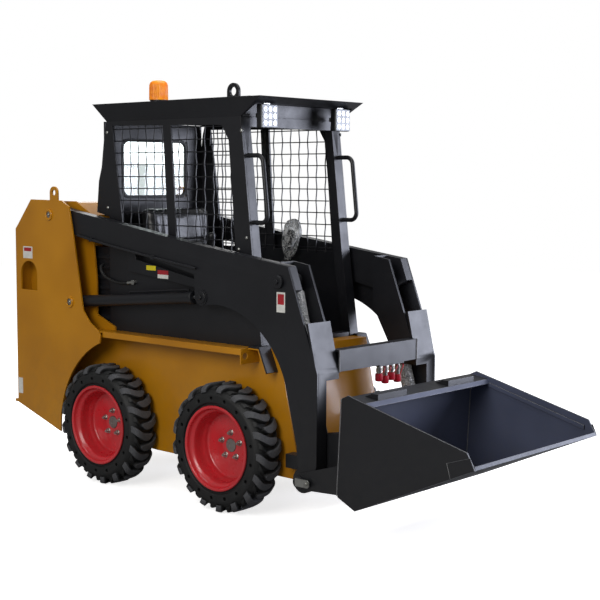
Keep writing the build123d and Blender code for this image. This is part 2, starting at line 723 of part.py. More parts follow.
# Wheel sections, as (radius, distance from the machine's middle)
flange_y = tyre_outer_y - rim_flange_width
tyre_section = [(tyre_bead_radius, tyre_inner_y + tyre_shoulder),
                (tyre_radius - tyre_side_round, tyre_inner_y),
                (tyre_radius - tyre_shoulder, tyre_inner_y + tyre_shoulder / 2),
                (tyre_radius, tyre_inner_y + 2 * tyre_shoulder),
                (tyre_radius, tyre_outer_y - 2 * tyre_shoulder),
                (tyre_radius - tyre_shoulder, tyre_outer_y - tyre_shoulder / 2),
                (tyre_radius - tyre_side_round, tyre_outer_y),
                (tyre_bead_radius + tyre_wall_drop, flange_y - running_gap),
                (tyre_bead_radius, flange_y - running_gap)]
rim_section = [(rim_seat_radius, tyre_inner_y + rim_inner_step), (rim_seat_radius, flange_y),
               (rim_flange_radius, flange_y), (rim_flange_radius, tyre_outer_y),
               (rim_lip_radius, tyre_outer_y), (rim_lip_radius - rim_inner_step, flange_y - rim_wall),
               (rim_well_radius, flange_y - 2 * rim_wall), (rim_well_radius, disc_y + rim_dish_round),
               (disc_radius, disc_y + 2 * rim_wall), (disc_radius, disc_y),
               (hub_radius, disc_y), (hub_radius - rim_inner_step, hub_inner_y + hub_length),
               (spindle_radius + running_gap, hub_inner_y + hub_length),
               (spindle_radius + running_gap, hub_inner_y), (hub_radius, hub_inner_y),
               (disc_radius, hub_inner_y), (rim_seat_radius - rim_wall, hub_inner_y),
               (rim_seat_radius - rim_wall, tyre_inner_y + rim_inner_step)]
for axle_name, axle_x in AXLES:
    for side_name, side in SIDES:
        axle_line = Axis((axle_x, 0, tyre_radius), (0, 1, 0))
        for piece, section in (("tyre", tyre_section), ("rim", rim_section)):
            with BuildPart() as wheel:
                with BuildSketch(Plane(origin=(axle_x, 0, tyre_radius), x_dir=(1, 0, 0), z_dir=(0, 0, 1))):
                    with BuildLine():
                        Polyline(*[(radius, side * y) for radius, y in section], close=True)
                    make_face()
                revolve(axis=axle_line)
            write(wheel.part, f"{piece}_{axle_name}_{side_name}")

# Lift arms: an outer plate, the beam behind it, a cheek plate and a boxed leg
arm_under = spot(arm_under_shares, arm_origin, arm_size)
arm_outline_top = spot(arm_top_shares, arm_origin, arm_size)
arm_outline_rear = spot(arm_rear_shares, arm_origin, arm_size)
arm_arch = spot([arm_arch_share], arm_origin, arm_size)[0]
beam_outline = arm_outline_top[:4] + spot(beam_front_shares, arm_origin, arm_size)[1:] + arm_under[4:]
for name, side in SIDES:
    outer_y = side * arm_outer_y
    plate_y = side * (arm_outer_y - arm_plate)
    cheek_y = side * cheek_inner_y
    with BuildPart() as arm:
        with BuildSketch(Plane.XZ.offset(-outer_y)) as plate_face:
            with BuildLine():
                Polyline(*arm_outline_top, *arm_outline_rear)
                ThreePointArc(arm_outline_rear[-1], arm_arch, arm_under[0])
                Polyline(*arm_under, arm_outline_top[0])
            make_face()
        extrude(plate_face.sketch, amount=arm_plate, dir=(0, -side, 0))
        side_plate(beam_outline, side * beam_inner_y, outer_y)
        cross_pin(pivot_x, pivot_z, arm_end_radius, side * beam_inner_y, outer_y)
        side_plate(spot(cheek_shares, arm_origin, arm_size), cheek_y, side * (cheek_inner_y + cheek_plate))
        rear_web_x = pivot_x + cheek_shares[0][0] * arm_reach
        span_box(rear_web_x, rear_web_x + lug_plate, cheek_y, side * (beam_inner_y + overrun),
                 pivot_z - cheek_shares[5][1] * arm_drop, pivot_z - cheek_shares[0][1] * arm_drop)
        cover_path = spot(cover_shares, arm_origin, arm_size)
        side_plate(sheet_path(cover_path, arm_plate), cheek_y, outer_y)
        side_plate(spot(leg_shares, arm_origin, arm_size), side * leg_inner_y, outer_y)
        cross_pin(hinge_x, hinge_z, hinge_boss_radius, side * leg_inner_y, outer_y)
        lug_inner_y = side * (lift_y - lift_eye_width / 2 - eye_side_gap - lug_plate)
        lug_outer_y = side * (lift_y - lift_eye_width / 2 - eye_side_gap)
        cross_pin(lift_eye_x, lift_eye_z, lift_eye_radius, lug_inner_y, lug_outer_y)
        lug_top_z = arm_under[3][1] + lift_eye_radius
        span_box(lift_eye_x - lift_eye_radius, lift_eye_x + lift_eye_radius, lug_inner_y, lug_outer_y,
                 lift_eye_z, lug_top_z)
        cross_pin(lift_eye_x, lift_eye_z, lift_pin_radius, plate_y,
                  side * (lift_y + lift_eye_width / 2 + eye_side_gap / 2))
        cross_pin(lift_eye_x, lift_eye_z, boss_radius, outer_y, outer_y + side * boss_proud / 2)
        cross_pin(tilt_top_x, tilt_top_z, tilt_pin_radius, cheek_y, outer_y + side * boss_proud)
        cross_pin(pivot_x, pivot_z, pivot_pin_radius + running_gap, side * (beam_inner_y - overrun),
                  outer_y + side * overrun, mode=Mode.SUBTRACT)
        cross_pin(hinge_x, hinge_z, hinge_pin_radius + running_gap, side * (leg_inner_y - overrun),
                  outer_y + side * overrun, mode=Mode.SUBTRACT)
    write(arm.part, f"arm_{name}")

with BuildPart() as crossbar:
    span_box(crossbar_x, crossbar_x + crossbar_depth, -cheek_inner_y, cheek_inner_y,
             crossbar_bottom_z, crossbar_bottom_z + crossbar_height)
    span_box(crossbar_x + crossbar_wall, crossbar_x + crossbar_depth - crossbar_wall,
             -cheek_inner_y - overrun, cheek_inner_y + overrun, crossbar_bottom_z + crossbar_wall,
             crossbar_bottom_z + crossbar_height - crossbar_wall, mode=Mode.SUBTRACT)
write(crossbar.part, "arm_crossbar")

# Cylinders: a barrel on its base pin and a rod that slides in it, one pair a side
hitch_x, hitch_z = hinge_x + hitch_pin_x, hinge_z + hitch_pin_z
# name, base x, base z, eye x, eye z, distance from the middle, barrel radius, barrel length,
# rod radius, base pin radius, eye radius, eye width
CYLINDERS = (
    ("lift", lift_base_x, lift_base_z, lift_eye_x, lift_eye_z, lift_y, lift_barrel_radius,
     lift_barrel_length, lift_rod_radius, lift_pin_radius, lift_eye_radius, lift_eye_width),
    ("tilt", tilt_top_x, tilt_top_z, hitch_x, hitch_z, tilt_y, tilt_barrel_radius,
     tilt_barrel_length, tilt_rod_radius, tilt_pin_radius, tilt_eye_radius, tilt_eye_width),
)
for (name, base_x, base_z, eye_x, eye_z, offset_y, barrel_radius, barrel_length, rod_radius,
     base_pin_radius, eye_radius, eye_width) in CYLINDERS:
    run_length = math.dist((base_x, base_z), (eye_x, eye_z))
    step_x, step_z = (eye_x - base_x) / run_length, (eye_z - base_z) / run_length

    def along(distance, y):
        """A point on the cylinder's line, a distance from its base pin."""
        return (base_x + step_x * distance, y, base_z + step_z * distance)

    with BuildPart() as barrels:
        for _, side in SIDES:
            y = side * offset_y
            cross_pin(base_x, base_z, eye_radius, y - eye_width / 2, y + eye_width / 2)
            round_bar(along(eye_radius / 2, y), along(barrel_length, y), barrel_radius)
            round_bar(along(eye_radius + rod_bore_gap, y), along(barrel_length + overrun, y),
                      rod_radius + rod_bore_gap, mode=Mode.SUBTRACT)
            cross_pin(base_x, base_z, base_pin_radius + running_gap, y - eye_width, y + eye_width,
                      mode=Mode.SUBTRACT)
    write(barrels.part, f"{name}_barrels")
    with BuildPart() as rods:
        for _, side in SIDES:
            y = side * offset_y
            round_bar(along(eye_radius + 2 * overrun, y), along(run_length, y), rod_radius)
            cross_pin(eye_x, eye_z, eye_radius, y - eye_width / 2, y + eye_width / 2)
    write(rods.part, f"{name}_rods")

# Hitch frame between the leg pins and the bucket's back
back_low, back_high = bucket_outline[5], bucket_outline[0]
back_slope = (back_high[0] - back_low[0]) / (back_high[1] - back_low[1])


def back_x(z):
    """The rear face of the bucket's back sheet at a height."""
    return back_low[0] + back_slope * (z - back_low[1])


plate_low_z = back_low[1]
plate_high_z = back_high[1] - bucket_plate
with BuildPart() as hitch:
    plate_outline = [(back_x(plate_low_z) - hitch_plate, plate_low_z), (back_x(plate_low_z), plate_low_z),
                     (back_x(plate_high_z), plate_high_z), (back_x(plate_high_z) - hitch_plate, plate_high_z)]
    side_plate(plate_outline, -hitch_half, hitch_half)
    ear_join_x = back_x(plate_low_z) - hitch_plate / 2
    lug_low_y = tilt_y - tilt_eye_width / 2 - eye_side_gap
    lug_high_y = tilt_y + tilt_eye_width / 2 + eye_side_gap
    pin_tab = [(hitch_x, hitch_z + hitch_lug_radius), (back_x(hitch_z), hitch_z + 2 * hitch_lug_radius),
               (back_x(plate_low_z), plate_low_z)]
    ear_foot = [(ear_join_x, plate_low_z), (hinge_x, hinge_z - hitch_lug_radius),
                (hinge_x, hinge_z + hitch_lug_radius), (ear_join_x, hinge_z + hitch_ear_rise)]
    for _, side in SIDES:
        side_plate(ear_foot, side * hitch_ear_y, side * hitch_half)
        cross_pin(hinge_x, hinge_z, hitch_lug_radius, side * hitch_ear_y, side * hitch_half)
        inner_tab = pin_tab + [(hitch_x, hitch_z - hitch_lug_radius)]
        side_plate(inner_tab, side * lug_low_y, side * (lug_low_y - lug_plate))
        cross_pin(hitch_x, hitch_z, hitch_lug_radius, side * lug_low_y, side * (lug_low_y - lug_plate))
        outer_tab = pin_tab + [(hinge_x, hinge_z - hitch_lug_radius), (hinge_x, hinge_z + hitch_lug_radius)]
        side_plate(outer_tab, side * lug_high_y, side * (lug_high_y + lug_plate))
        cross_pin(hitch_x, hitch_z, hitch_lug_radius, side * lug_high_y, side * (lug_high_y + lug_plate))
        cross_pin(hinge_x, hinge_z, hitch_lug_radius, side * lug_high_y, side * (lug_high_y + lug_plate))
        cross_pin(hinge_x, hinge_z, hinge_pin_radius, side * lug_high_y, side * (hitch_half + overrun))
        cross_pin(hinge_x, hinge_z, pin_head_radius, side * hitch_half, side * (hitch_half + pin_head_length))
write(hitch.part, "hitch_frame")

# Bucket: side plates, one bent sheet for back, heel and floor, and the cutting edge
tip, heel = bucket_outline[3], bucket_outline[4]
floor_run = math.dist(heel, tip)
floor_x, floor_z = (tip[0] - heel[0]) / floor_run, (tip[1] - heel[1]) / floor_run
edge_start = (tip[0] - floor_x * cutting_edge_length, tip[1] - floor_z * cutting_edge_length)
bucket_inner = bucket_half - bucket_plate
with BuildPart() as bucket:
    for _, side in SIDES:
        side_plate(bucket_outline, side * bucket_inner, side * bucket_half)
    sheet_points = [edge_start, heel, back_low, back_high, bucket_outline[1]]
    side_plate(sheet_path(sheet_points, bucket_plate), -bucket_inner, bucket_inner)
write(bucket.part, "bucket_shell")

with BuildPart() as cutting_edge:
    edge_points = [tip, edge_start]
    side_plate(sheet_path(edge_points, cutting_edge_thickness), -bucket_inner, bucket_inner)
write(cutting_edge.part, "cutting_edge")
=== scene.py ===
# %% [markdown]
# A compact skid steer loader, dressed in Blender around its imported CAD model.
# The CAD model gives every steel plate, wheel and cylinder at its real size. This lesson adds
# what the eye looks for: enamel with soft edges, a cut tread, woven wire, glass, vinyl and bolts.
# +X points forward, +Y to the machine's left, +Z up. Blender's lengths are in metres; the tables
# of sizes are in millimetres, and the helpers that add plates, bars and lathe forms take them so.

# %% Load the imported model
import bpy
import bmesh
import json
import math
import numpy as np
from mathutils import Matrix, Vector
from mathutils.geometry import delaunay_2d_cdt

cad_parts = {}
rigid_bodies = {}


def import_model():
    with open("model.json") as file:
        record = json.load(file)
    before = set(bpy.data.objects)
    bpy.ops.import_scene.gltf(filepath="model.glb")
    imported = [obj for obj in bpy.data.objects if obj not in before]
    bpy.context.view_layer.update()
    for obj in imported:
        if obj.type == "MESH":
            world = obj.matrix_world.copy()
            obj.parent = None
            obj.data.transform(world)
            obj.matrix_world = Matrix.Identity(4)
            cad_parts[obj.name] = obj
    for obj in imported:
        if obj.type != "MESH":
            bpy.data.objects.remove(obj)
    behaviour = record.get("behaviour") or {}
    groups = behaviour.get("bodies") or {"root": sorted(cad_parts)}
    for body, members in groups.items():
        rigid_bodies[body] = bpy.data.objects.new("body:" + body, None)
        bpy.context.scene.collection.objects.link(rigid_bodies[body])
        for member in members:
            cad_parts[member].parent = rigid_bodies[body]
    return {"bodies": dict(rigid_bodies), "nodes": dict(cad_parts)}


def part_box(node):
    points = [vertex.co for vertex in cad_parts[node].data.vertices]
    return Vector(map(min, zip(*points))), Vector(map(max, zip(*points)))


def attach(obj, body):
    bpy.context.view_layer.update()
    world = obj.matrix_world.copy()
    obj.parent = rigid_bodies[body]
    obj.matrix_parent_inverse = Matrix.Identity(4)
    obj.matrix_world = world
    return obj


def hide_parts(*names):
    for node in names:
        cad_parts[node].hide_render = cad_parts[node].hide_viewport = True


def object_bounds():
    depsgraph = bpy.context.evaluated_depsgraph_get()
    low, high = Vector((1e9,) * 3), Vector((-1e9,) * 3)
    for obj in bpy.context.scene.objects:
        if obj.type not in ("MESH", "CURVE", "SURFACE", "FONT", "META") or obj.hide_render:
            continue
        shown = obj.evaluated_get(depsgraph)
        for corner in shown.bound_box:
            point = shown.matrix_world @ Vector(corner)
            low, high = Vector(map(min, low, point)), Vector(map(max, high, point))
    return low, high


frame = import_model()
cad_low, cad_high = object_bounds()
NODES = frame["nodes"]
MM = 0.001
SIDES = (("right", -1), ("left", 1))
WHEELS = [(end, side) for end in ("front", "rear") for side in ("left", "right")]


def box_mm(node):
    """A node's lowest and highest corners in millimetres."""
    return (np.array(v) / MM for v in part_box(node))


print("loaded", len(NODES), "nodes; box", [round(v, 3) for v in cad_low], [round(v, 3) for v in cad_high])

# %% [markdown]
# The camera stands where the photographer stood: ahead of the machine's right side, a little
# above the bucket. The place was solved from straight edges and wheel circles, so it is typed as
# a position and three angles.

# %% Camera
PHOTO_SIDE = 600
FOCAL_PIXELS = 1286.8
SENSOR_WIDTH = 36.0
CAMERA_PLACE = (4.0326, -4.3600, 1.4703)
CAMERA_AZIMUTH, CAMERA_FALL, CAMERA_ROLL = 41.701, 5.356, 0.2387

camera_data = bpy.data.cameras.new("photo_camera")
camera_data.sensor_width = SENSOR_WIDTH
camera_data.lens = SENSOR_WIDTH * FOCAL_PIXELS / PHOTO_SIDE
camera = bpy.data.objects.new("photo_camera", camera_data)
bpy.context.scene.collection.objects.link(camera)
azimuth, fall, roll = (math.radians(a) for a in (CAMERA_AZIMUTH, CAMERA_FALL, CAMERA_ROLL))
ahead = Vector((-math.sin(azimuth) * math.cos(fall), math.cos(azimuth) * math.cos(fall), -math.sin(fall)))
level_right = Vector((math.cos(azimuth), math.sin(azimuth), 0))
straight_up = level_right.cross(ahead)
right = level_right * math.cos(roll) + straight_up * math.sin(roll)
up = straight_up * math.cos(roll) - level_right * math.sin(roll)
camera.rotation_mode = "QUATERNION"
camera.location = CAMERA_PLACE
turn = np.array([right, up, -ahead]).T
camera.rotation_quaternion = Matrix(turn.tolist()).to_quaternion()
bpy.context.scene.camera = camera
print("lens", round(camera_data.lens, 2), "mm")

# %% [markdown]
# A pale studio: a floor and soft lamps. The world is white only to the camera and through glass;
# steel and enamel mirror a dimmer room, so that black paint stays black on the shaded side.

# %% View transform, world and floor
scene = bpy.context.scene
scene.view_settings.view_transform = "Standard"


def linear(code):
    """An sRGB hex colour as linear red, green, blue, alpha."""
    parts = [int(code[i:i + 2], 16) / 255 for i in (1, 3, 5)]
    return [c / 12.92 if c <= 0.04045 else ((c + 0.055) / 1.055) ** 2.4 for c in parts] + [1.0]


def add(tree, kind, settings=None, **links):
    """Adds a node. A link's value is a socket, a number or a colour; its key names the input."""
    node = tree.nodes.new(kind)
    for key, value in (settings or {}).items():
        setattr(node, key, value)
    for key, value in links.items():
        socket = node.inputs[int(key[1:])] if key[1:].isdigit() else node.inputs[key.replace("_", " ")]
        if isinstance(value, bpy.types.NodeSocket):
            tree.links.new(value, socket)
        else:
            socket.default_value = value
    return node


world = bpy.data.worlds.new("studio")
scene.world = world
world.use_nodes = True
world.node_tree.nodes.clear()
FILL_LIGHT, MIRRORED_LIGHT = 0.36, 0.22
path = add(world.node_tree, "ShaderNodeLightPath")
seen_or_clear = add(world.node_tree, "ShaderNodeMath", {"operation": "MAXIMUM"},
                    _0=path.outputs["Is Camera Ray"], _1=path.outputs["Is Transmission Ray"])
room = add(world.node_tree, "ShaderNodeMapRange", None, Value=path.outputs["Is Glossy Ray"],
           To_Min=FILL_LIGHT, To_Max=MIRRORED_LIGHT)
strength = add(world.node_tree, "ShaderNodeMath", {"operation": "MAXIMUM"}, _0=seen_or_clear.outputs[0],
               _1=room.outputs[0])
backdrop = add(world.node_tree, "ShaderNodeBackground", None, Color=(1, 1, 1, 1),
               Strength=strength.outputs[0])
add(world.node_tree, "ShaderNodeOutputWorld", None, Surface=backdrop.outputs[0])

# The floor is lifted to white for the camera alone, and is darker to the light that it throws back.
FLOOR_HALF, FLOOR_LIFT = 14.0, 0.72
floor_mesh = bpy.data.meshes.new("studio_floor")
floor_mesh.from_pydata([(x * FLOOR_HALF, y * FLOOR_HALF, cad_low.z) for x, y in
                        ((-1, -1), (1, -1), (1, 1), (-1, 1))], [], [(0, 1, 2, 3)])
floor = bpy.data.objects.new("studio_floor", floor_mesh)
scene.collection.objects.link(floor)
floor_paint = bpy.data.materials.new("matt_studio_paint")
floor_paint.use_nodes = True
floor_paint.node_tree.nodes.clear()
tree = floor_paint.node_tree
matt = add(tree, "ShaderNodeBsdfDiffuse", None, Color=linear("#f4f4f4"))
bounce = add(tree, "ShaderNodeBsdfDiffuse", None, Color=linear("#8c8c8c"))
lift = add(tree, "ShaderNodeEmission", None, Color=(1, 1, 1, 1), Strength=FLOOR_LIFT)
seen = add(tree, "ShaderNodeLightPath")
lifted = add(tree, "ShaderNodeMixShader", None, _0=seen.outputs["Is Camera Ray"], _1=bounce.outputs[0])
both = add(tree, "ShaderNodeAddShader", None, _0=matt.outputs[0], _1=lift.outputs[0])
tree.links.new(both.outputs[0], lifted.inputs[2])
add(tree, "ShaderNodeOutputMaterial", None, Surface=lifted.outputs[0])
floor_mesh.materials.append(floor_paint)

# %% Soft lamps
LAMPS = (
    # name, place, size, power in watts, colour
    ("front_window", (3.7, 4.1, 1.3), 3.4, 300, (0.80, 0.84, 1.0)),
    ("side_window", (1.4, -5.8, 3.4), 3.4, 180, (1.0, 0.98, 0.95)),
    ("ceiling", (0.2, 0.4, 5.4), 4.5, 200, (0.97, 0.98, 1.0)),
    ("back_window", (-4.5, 3.5, 3.0), 3.0, 60, (1.0, 1.0, 1.0)),
)
AIM = Vector((0, 0, 0.9))
for name, place, size, power, tint in LAMPS:
    data = bpy.data.lights.new(name, "AREA")
    data.shape = "DISK"
    data.size = size
    data.energy = power
    data.color = tint
    lamp = bpy.data.objects.new(name, data)
    lamp.location = place
    lamp.rotation_mode = "QUATERNION"
    lamp.rotation_quaternion = (AIM - Vector(place)).to_track_quat("-Z", "Y")
    scene.collection.objects.link(lamp)
print("lamps", len(LAMPS))

# %% [markdown]
# Painted steel is the loader's main finish. Gloss enamel sprayed over plate has three marks of its
# own: a faint orange peel, slow changes of tone where the coat is thicker, and dust that dulls it
# low down. All three come from noise in Object coordinates at real millimetre sizes.


# %% Enamels
def material(name):
    """A new empty node material with its Principled shader, and the Object coordinates."""
    made = bpy.data.materials.new(name)
    made.use_nodes = True
    made.node_tree.nodes.clear()
    shader = add(made.node_tree, "ShaderNodeBsdfPrincipled")
    add(made.node_tree, "ShaderNodeOutputMaterial", None, Surface=shader.outputs[0])
    place = add(made.node_tree, "ShaderNodeTexCoord").outputs["Object"]
    return made, made.node_tree, shader, place


def noise(tree, place, size_mm, detail=3.0, roughness=0.5, distortion=0.0):
    """Noise whose largest lumps are size_mm across."""
    return add(tree, "ShaderNodeTexNoise", None, Vector=place, Scale=1 / (size_mm * MM), Detail=detail,
               Roughness=roughness, Distortion=distortion).outputs["Fac"]


def ramp(tree, value, low, high, to_low=0.0, to_high=1.0):
    """A value stretched from low..high to to_low..to_high, and clamped."""
    return add(tree, "ShaderNodeMapRange", {"clamp": True}, Value=value, From_Min=low, From_Max=high,
               To_Min=to_low, To_Max=to_high).outputs[0]


def mixed(tree, share, one, two):
    """Two colours mixed by a share."""
    node = add(tree, "ShaderNodeMix", {"data_type": "RGBA"})
    for socket, value in ((node.inputs[0], share), (node.inputs[6], one), (node.inputs[7], two)):
        if isinstance(value, bpy.types.NodeSocket):
            tree.links.new(value, socket)
        else:
            socket.default_value = value
    return node.outputs[2]


def bumped(tree, shader, height, depth_mm, normal=None):
    """Bump of a real depth on a shader."""
    bump = add(tree, "ShaderNodeBump", None, Height=height, Distance=depth_mm * MM, Strength=1.0)
    if normal is not None:
        tree.links.new(normal, bump.inputs["Normal"])
    tree.links.new(bump.outputs[0], shader.inputs["Normal"])
    return bump.outputs[0]


def height_of(tree, place):
    """Height above the ground, in metres."""
    return add(tree, "ShaderNodeSeparateXYZ", None, Vector=place).outputs[2]


def enamel(name, base, deep, dust, roughness, dust_top, dust_most, coat=0.35, mirror=0.5):
    """Sprayed enamel: a base colour that drifts to a deeper one, with dust that thins with height."""
    made, tree, shader, place = material(name)
    drift = ramp(tree, noise(tree, place, 420, 2.0), 0.35, 0.65)
    colour = mixed(tree, drift, linear(base), linear(deep))
    mottle = ramp(tree, noise(tree, place, 38, 4.0, 0.6), 0.35, 0.75)
    low = ramp(tree, height_of(tree, place), 0.05, dust_top, dust_most, 0.0)
    amount = add(tree, "ShaderNodeMath", {"operation": "MULTIPLY"}, _0=low, _1=mottle).outputs[0]
    colour = mixed(tree, amount, colour, linear(dust))
    tree.links.new(colour, shader.inputs["Base Color"])
    dull = add(tree, "ShaderNodeMath", {"operation": "MULTIPLY_ADD"}, _0=amount, _1=0.5, _2=roughness)
    smear = ramp(tree, noise(tree, place, 90, 3.0, 0.6), 0.3, 0.7, -0.04, 0.06)
    rough = add(tree, "ShaderNodeMath", {"operation": "ADD"}, _0=dull.outputs[0], _1=smear)
    tree.links.new(rough.outputs[0], shader.inputs["Roughness"])
    shader.inputs["Coat Weight"].default_value = coat
    shader.inputs["Coat Roughness"].default_value = 0.12
    shader.inputs["Specular IOR Level"].default_value = mirror
    bumped(tree, shader, noise(tree, place, 5.0, 1.0), 0.10)
    return made


OCHRE = enamel("gloss_ochre_enamel", "#bb7f10", "#a66d0a", "#7d6436", 0.34, 0.9, 0.30, 0.25, 0.35)
CHARCOAL = enamel("satin_charcoal_enamel", "#16171c", "#121317", "#35332f", 0.40, 0.7, 0.20, 0.0, 0.5)
# The bucket's inside is the same charcoal paint; its lilac grey is a painted reflection of the front light,
# not a colour of its own.
BUCKET_PAINTED_SHEEN = enamel("bucket_inside_painted_sheen_enamel", "#4a5066", "#3b4052", "#55534e", 0.5, 0.7, 0.20, 0.0, 0.4)
RED = enamel("gloss_red_enamel", "#cf2730", "#ba1c26", "#6d4a44", 0.26, 0.7, 0.30, 0.5)
print("enamels", OCHRE.name, CHARCOAL.name, RED.name)


# %% [markdown]
# Bare metals keep a full metallic value and the default IOR; what tells them apart is how they
# were made. Ground steel has fine streaks, zinc plate is bright with a faint crystal mottle, and
# cast iron is rough and dark.


# %% Bare metals
def bare_metal(name, base, dark, roughness, grain_mm, streak=(1, 1, 1), depth=0.05, metallic=1.0):
    """Bare metal with a grain that may be stretched into streaks."""
    made, tree, shader, place = material(name)
    turned = add(tree, "ShaderNodeMapping", None, Vector=place, Scale=streak).outputs[0]
    grain = noise(tree, turned, grain_mm, 4.0, 0.6)
    stain = ramp(tree, noise(tree, place, 60, 3.0), 0.35, 0.7)
    share = add(tree, "ShaderNodeMath", {"operation": "MULTIPLY"}, _0=ramp(tree, grain, 0.3, 0.7), _1=stain)
    tree.links.new(mixed(tree, share.outputs[0], linear(base), linear(dark)), shader.inputs["Base Color"])
    shader.inputs["Metallic"].default_value = metallic
    rough = ramp(tree, grain, 0.2, 0.8, roughness - 0.08, roughness + 0.12)
    tree.links.new(rough, shader.inputs["Roughness"])
    bumped(tree, shader, grain, depth)
    return made


STEEL = bare_metal("ground_steel", "#a9a8a4", "#77736d", 0.36, 9, (1, 6, 1))
ZINC = bare_metal("zinc_plated_steel", "#b9bab6", "#8c8c86", 0.32, 6)
CHROME = bare_metal("hard_chromed_rod", "#8d9094", "#74777b", 0.16, 14)
IRON = bare_metal("sand_cast_iron", "#3a3a3b", "#262627", 0.62, 3, depth=0.3, metallic=0.7)

# %% [markdown]
# The tyres are solid moulded rubber. Rubber is nearly black and rough; the faces of the lugs have
# been scuffed to grey. An attribute on each tyre tells a lug's face from its sides.


# %% Rubber
def rubber():
    """Moulded black rubber, scuffed grey where the attribute 'scuff' is 1."""
    made, tree, shader, place = material("moulded_tyre_rubber")
    scuff = add(tree, "ShaderNodeAttribute", {"attribute_name": "scuff"}).outputs["Fac"]
    grit = ramp(tree, noise(tree, place, 7, 5.0, 0.7), 0.25, 0.7, 0.45, 1.0)
    worn = add(tree, "ShaderNodeMath", {"operation": "MULTIPLY"}, _0=scuff, _1=grit).outputs[0]
    colour = mixed(tree, worn, linear("#101112"), linear("#505155"))
    tree.links.new(colour, shader.inputs["Base Color"])
    tree.links.new(ramp(tree, worn, 0, 1, 0.62, 0.78), shader.inputs["Roughness"])
    bumped(tree, shader, noise(tree, place, 2.5, 3.0), 0.25)
    return made


RUBBER = rubber()

# %% [markdown]
# Every new piece below is a surface worked out with numpy. A few helpers cover them all: a grid of
# points becomes a mesh of quads, several grids or outlines are welded into one closed shell, and
# the shell's faces are turned outwards before any Bevel or Subdivision modifier finishes it.


# %% Mesh helpers
def grid_faces(rows, columns, wrap_rows=False, wrap_columns=False):
    """Quads of a grid of points, as an array of four corners a face."""
    i = np.arange(rows if wrap_rows else rows - 1)[:, None]
    j = np.arange(columns if wrap_columns else columns - 1)[None, :]
    down, over = (i + 1) % rows, (j + 1) % columns
    corners = [i * columns + j, down * columns + j, down * columns + over, i * columns + over]
    return np.stack([np.broadcast_to(c, (i.size, j.size)) for c in corners], -1).reshape(-1, 4)


WELD_GAP = 0.00002


class Shell:
    """Collects points and faces, and turns them into one object that rides on a body."""

    def __init__(self):
        self.points, self.faces, self.count = [], [], 0

    def put(self, points, faces):
        """Adds points of shape (n, 3) and faces that count from the first of them."""
        points = np.asarray(points, float).reshape(-1, 3)
        self.points.append(points)
        self.faces.extend((np.asarray(f) + self.count).tolist() for f in faces)
        self.count += len(points)

    def grid(self, points, wrap_rows=False, wrap_columns=False):
        """Adds a grid of points of shape (rows, columns, 3)."""
        points = np.asarray(points, float)
        self.put(points, grid_faces(points.shape[0], points.shape[1], wrap_rows, wrap_columns))

    def made(self, name, finish, body, replaces=(), angle=38, marks=None):
        """The object: doubles welded, faces outwards, edges over an angle kept sharp."""
        mesh = bpy.data.meshes.new(name)
        mesh.from_pydata(np.concatenate(self.points).tolist(), [], self.faces)
        if marks is not None:
            mesh.attributes.new("scuff", "FLOAT", "POINT").data.foreach_set("value", marks)
        work = bmesh.new()
        work.from_mesh(mesh)
        bmesh.ops.remove_doubles(work, verts=work.verts, dist=WELD_GAP)
        bmesh.ops.dissolve_degenerate(work, edges=work.edges, dist=WELD_GAP)
        bmesh.ops.recalc_face_normals(work, faces=work.faces)
        work.to_mesh(mesh)
        work.free()
        return placed(name, mesh, finish, body, replaces, angle)


def placed(name, mesh, finish, body, replaces=(), angle=38):
    """Puts a finished mesh in the scene on its body, with its material."""
    mesh.polygons.foreach_set("use_smooth", np.ones(len(mesh.polygons), bool))
    mesh.set_sharp_from_angle(angle=math.radians(angle))
    mesh.materials.append(finish)
    piece = bpy.data.objects.new(name, mesh)
    scene.collection.objects.link(piece)
    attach(piece, body)
    if replaces:
        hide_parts(*replaces)
    return piece


def soften(piece, width_mm=1.0, segments=2, angle=35):
    """A live Bevel that rounds the edges over an angle."""
    bevel = piece.modifiers.new("soft_edges", "BEVEL")
    bevel.width = width_mm * MM
    bevel.segments = segments
    bevel.limit_method = "ANGLE"
    bevel.angle_limit = math.radians(angle)
    bevel.use_clamp_overlap = True
    bevel.harden_normals = True
    return piece


def ring_points(count):
    """Points of the unit circle, as (count, 2)."""
    turn = np.arange(count) * 2 * np.pi / count
    return np.stack([np.cos(turn), np.sin(turn)], -1)


def frame_of(axis):
    """Two unit vectors across an axis."""
    axis = np.asarray(axis, float) / np.linalg.norm(axis)
    helper = np.array([0, 0, 1.0]) if abs(axis[2]) < 0.9 else np.array([1.0, 0, 0])
    one = np.cross(helper, axis)
    one /= np.linalg.norm(one)
    return axis, one, np.cross(axis, one)


def turned(profile, centre, axis, count=48):
    """A lathe form: rows of (radius, height) carried round an axis, as a grid of points."""
    axis, one, two = frame_of(axis)
    round_points = ring_points(count)
    profile = np.asarray(profile, float)
    across = round_points[:, :1] * one + round_points[:, 1:] * two
    return (np.asarray(centre, float) + profile[:, None, :1] * across[None]
            + profile[:, None, 1:] * axis)


def swept(path, radius, sides=10):
    """A round bar along a path: a ring in the plane across each point, turned as little as possible."""
    path = np.asarray(path, float)
    along = np.gradient(path, axis=0)
    along /= np.linalg.norm(along, axis=1, keepdims=True)
    _, one, _ = frame_of(along[0])
    rings = []
    for point, forward in zip(path, along):
        one = one - forward * (one @ forward)
        one /= np.linalg.norm(one)
        two = np.cross(forward, one)
        ring = ring_points(sides)
        rings.append(point + radius * (ring[:, :1] * one + ring[:, 1:] * two))
    return np.array(rings)


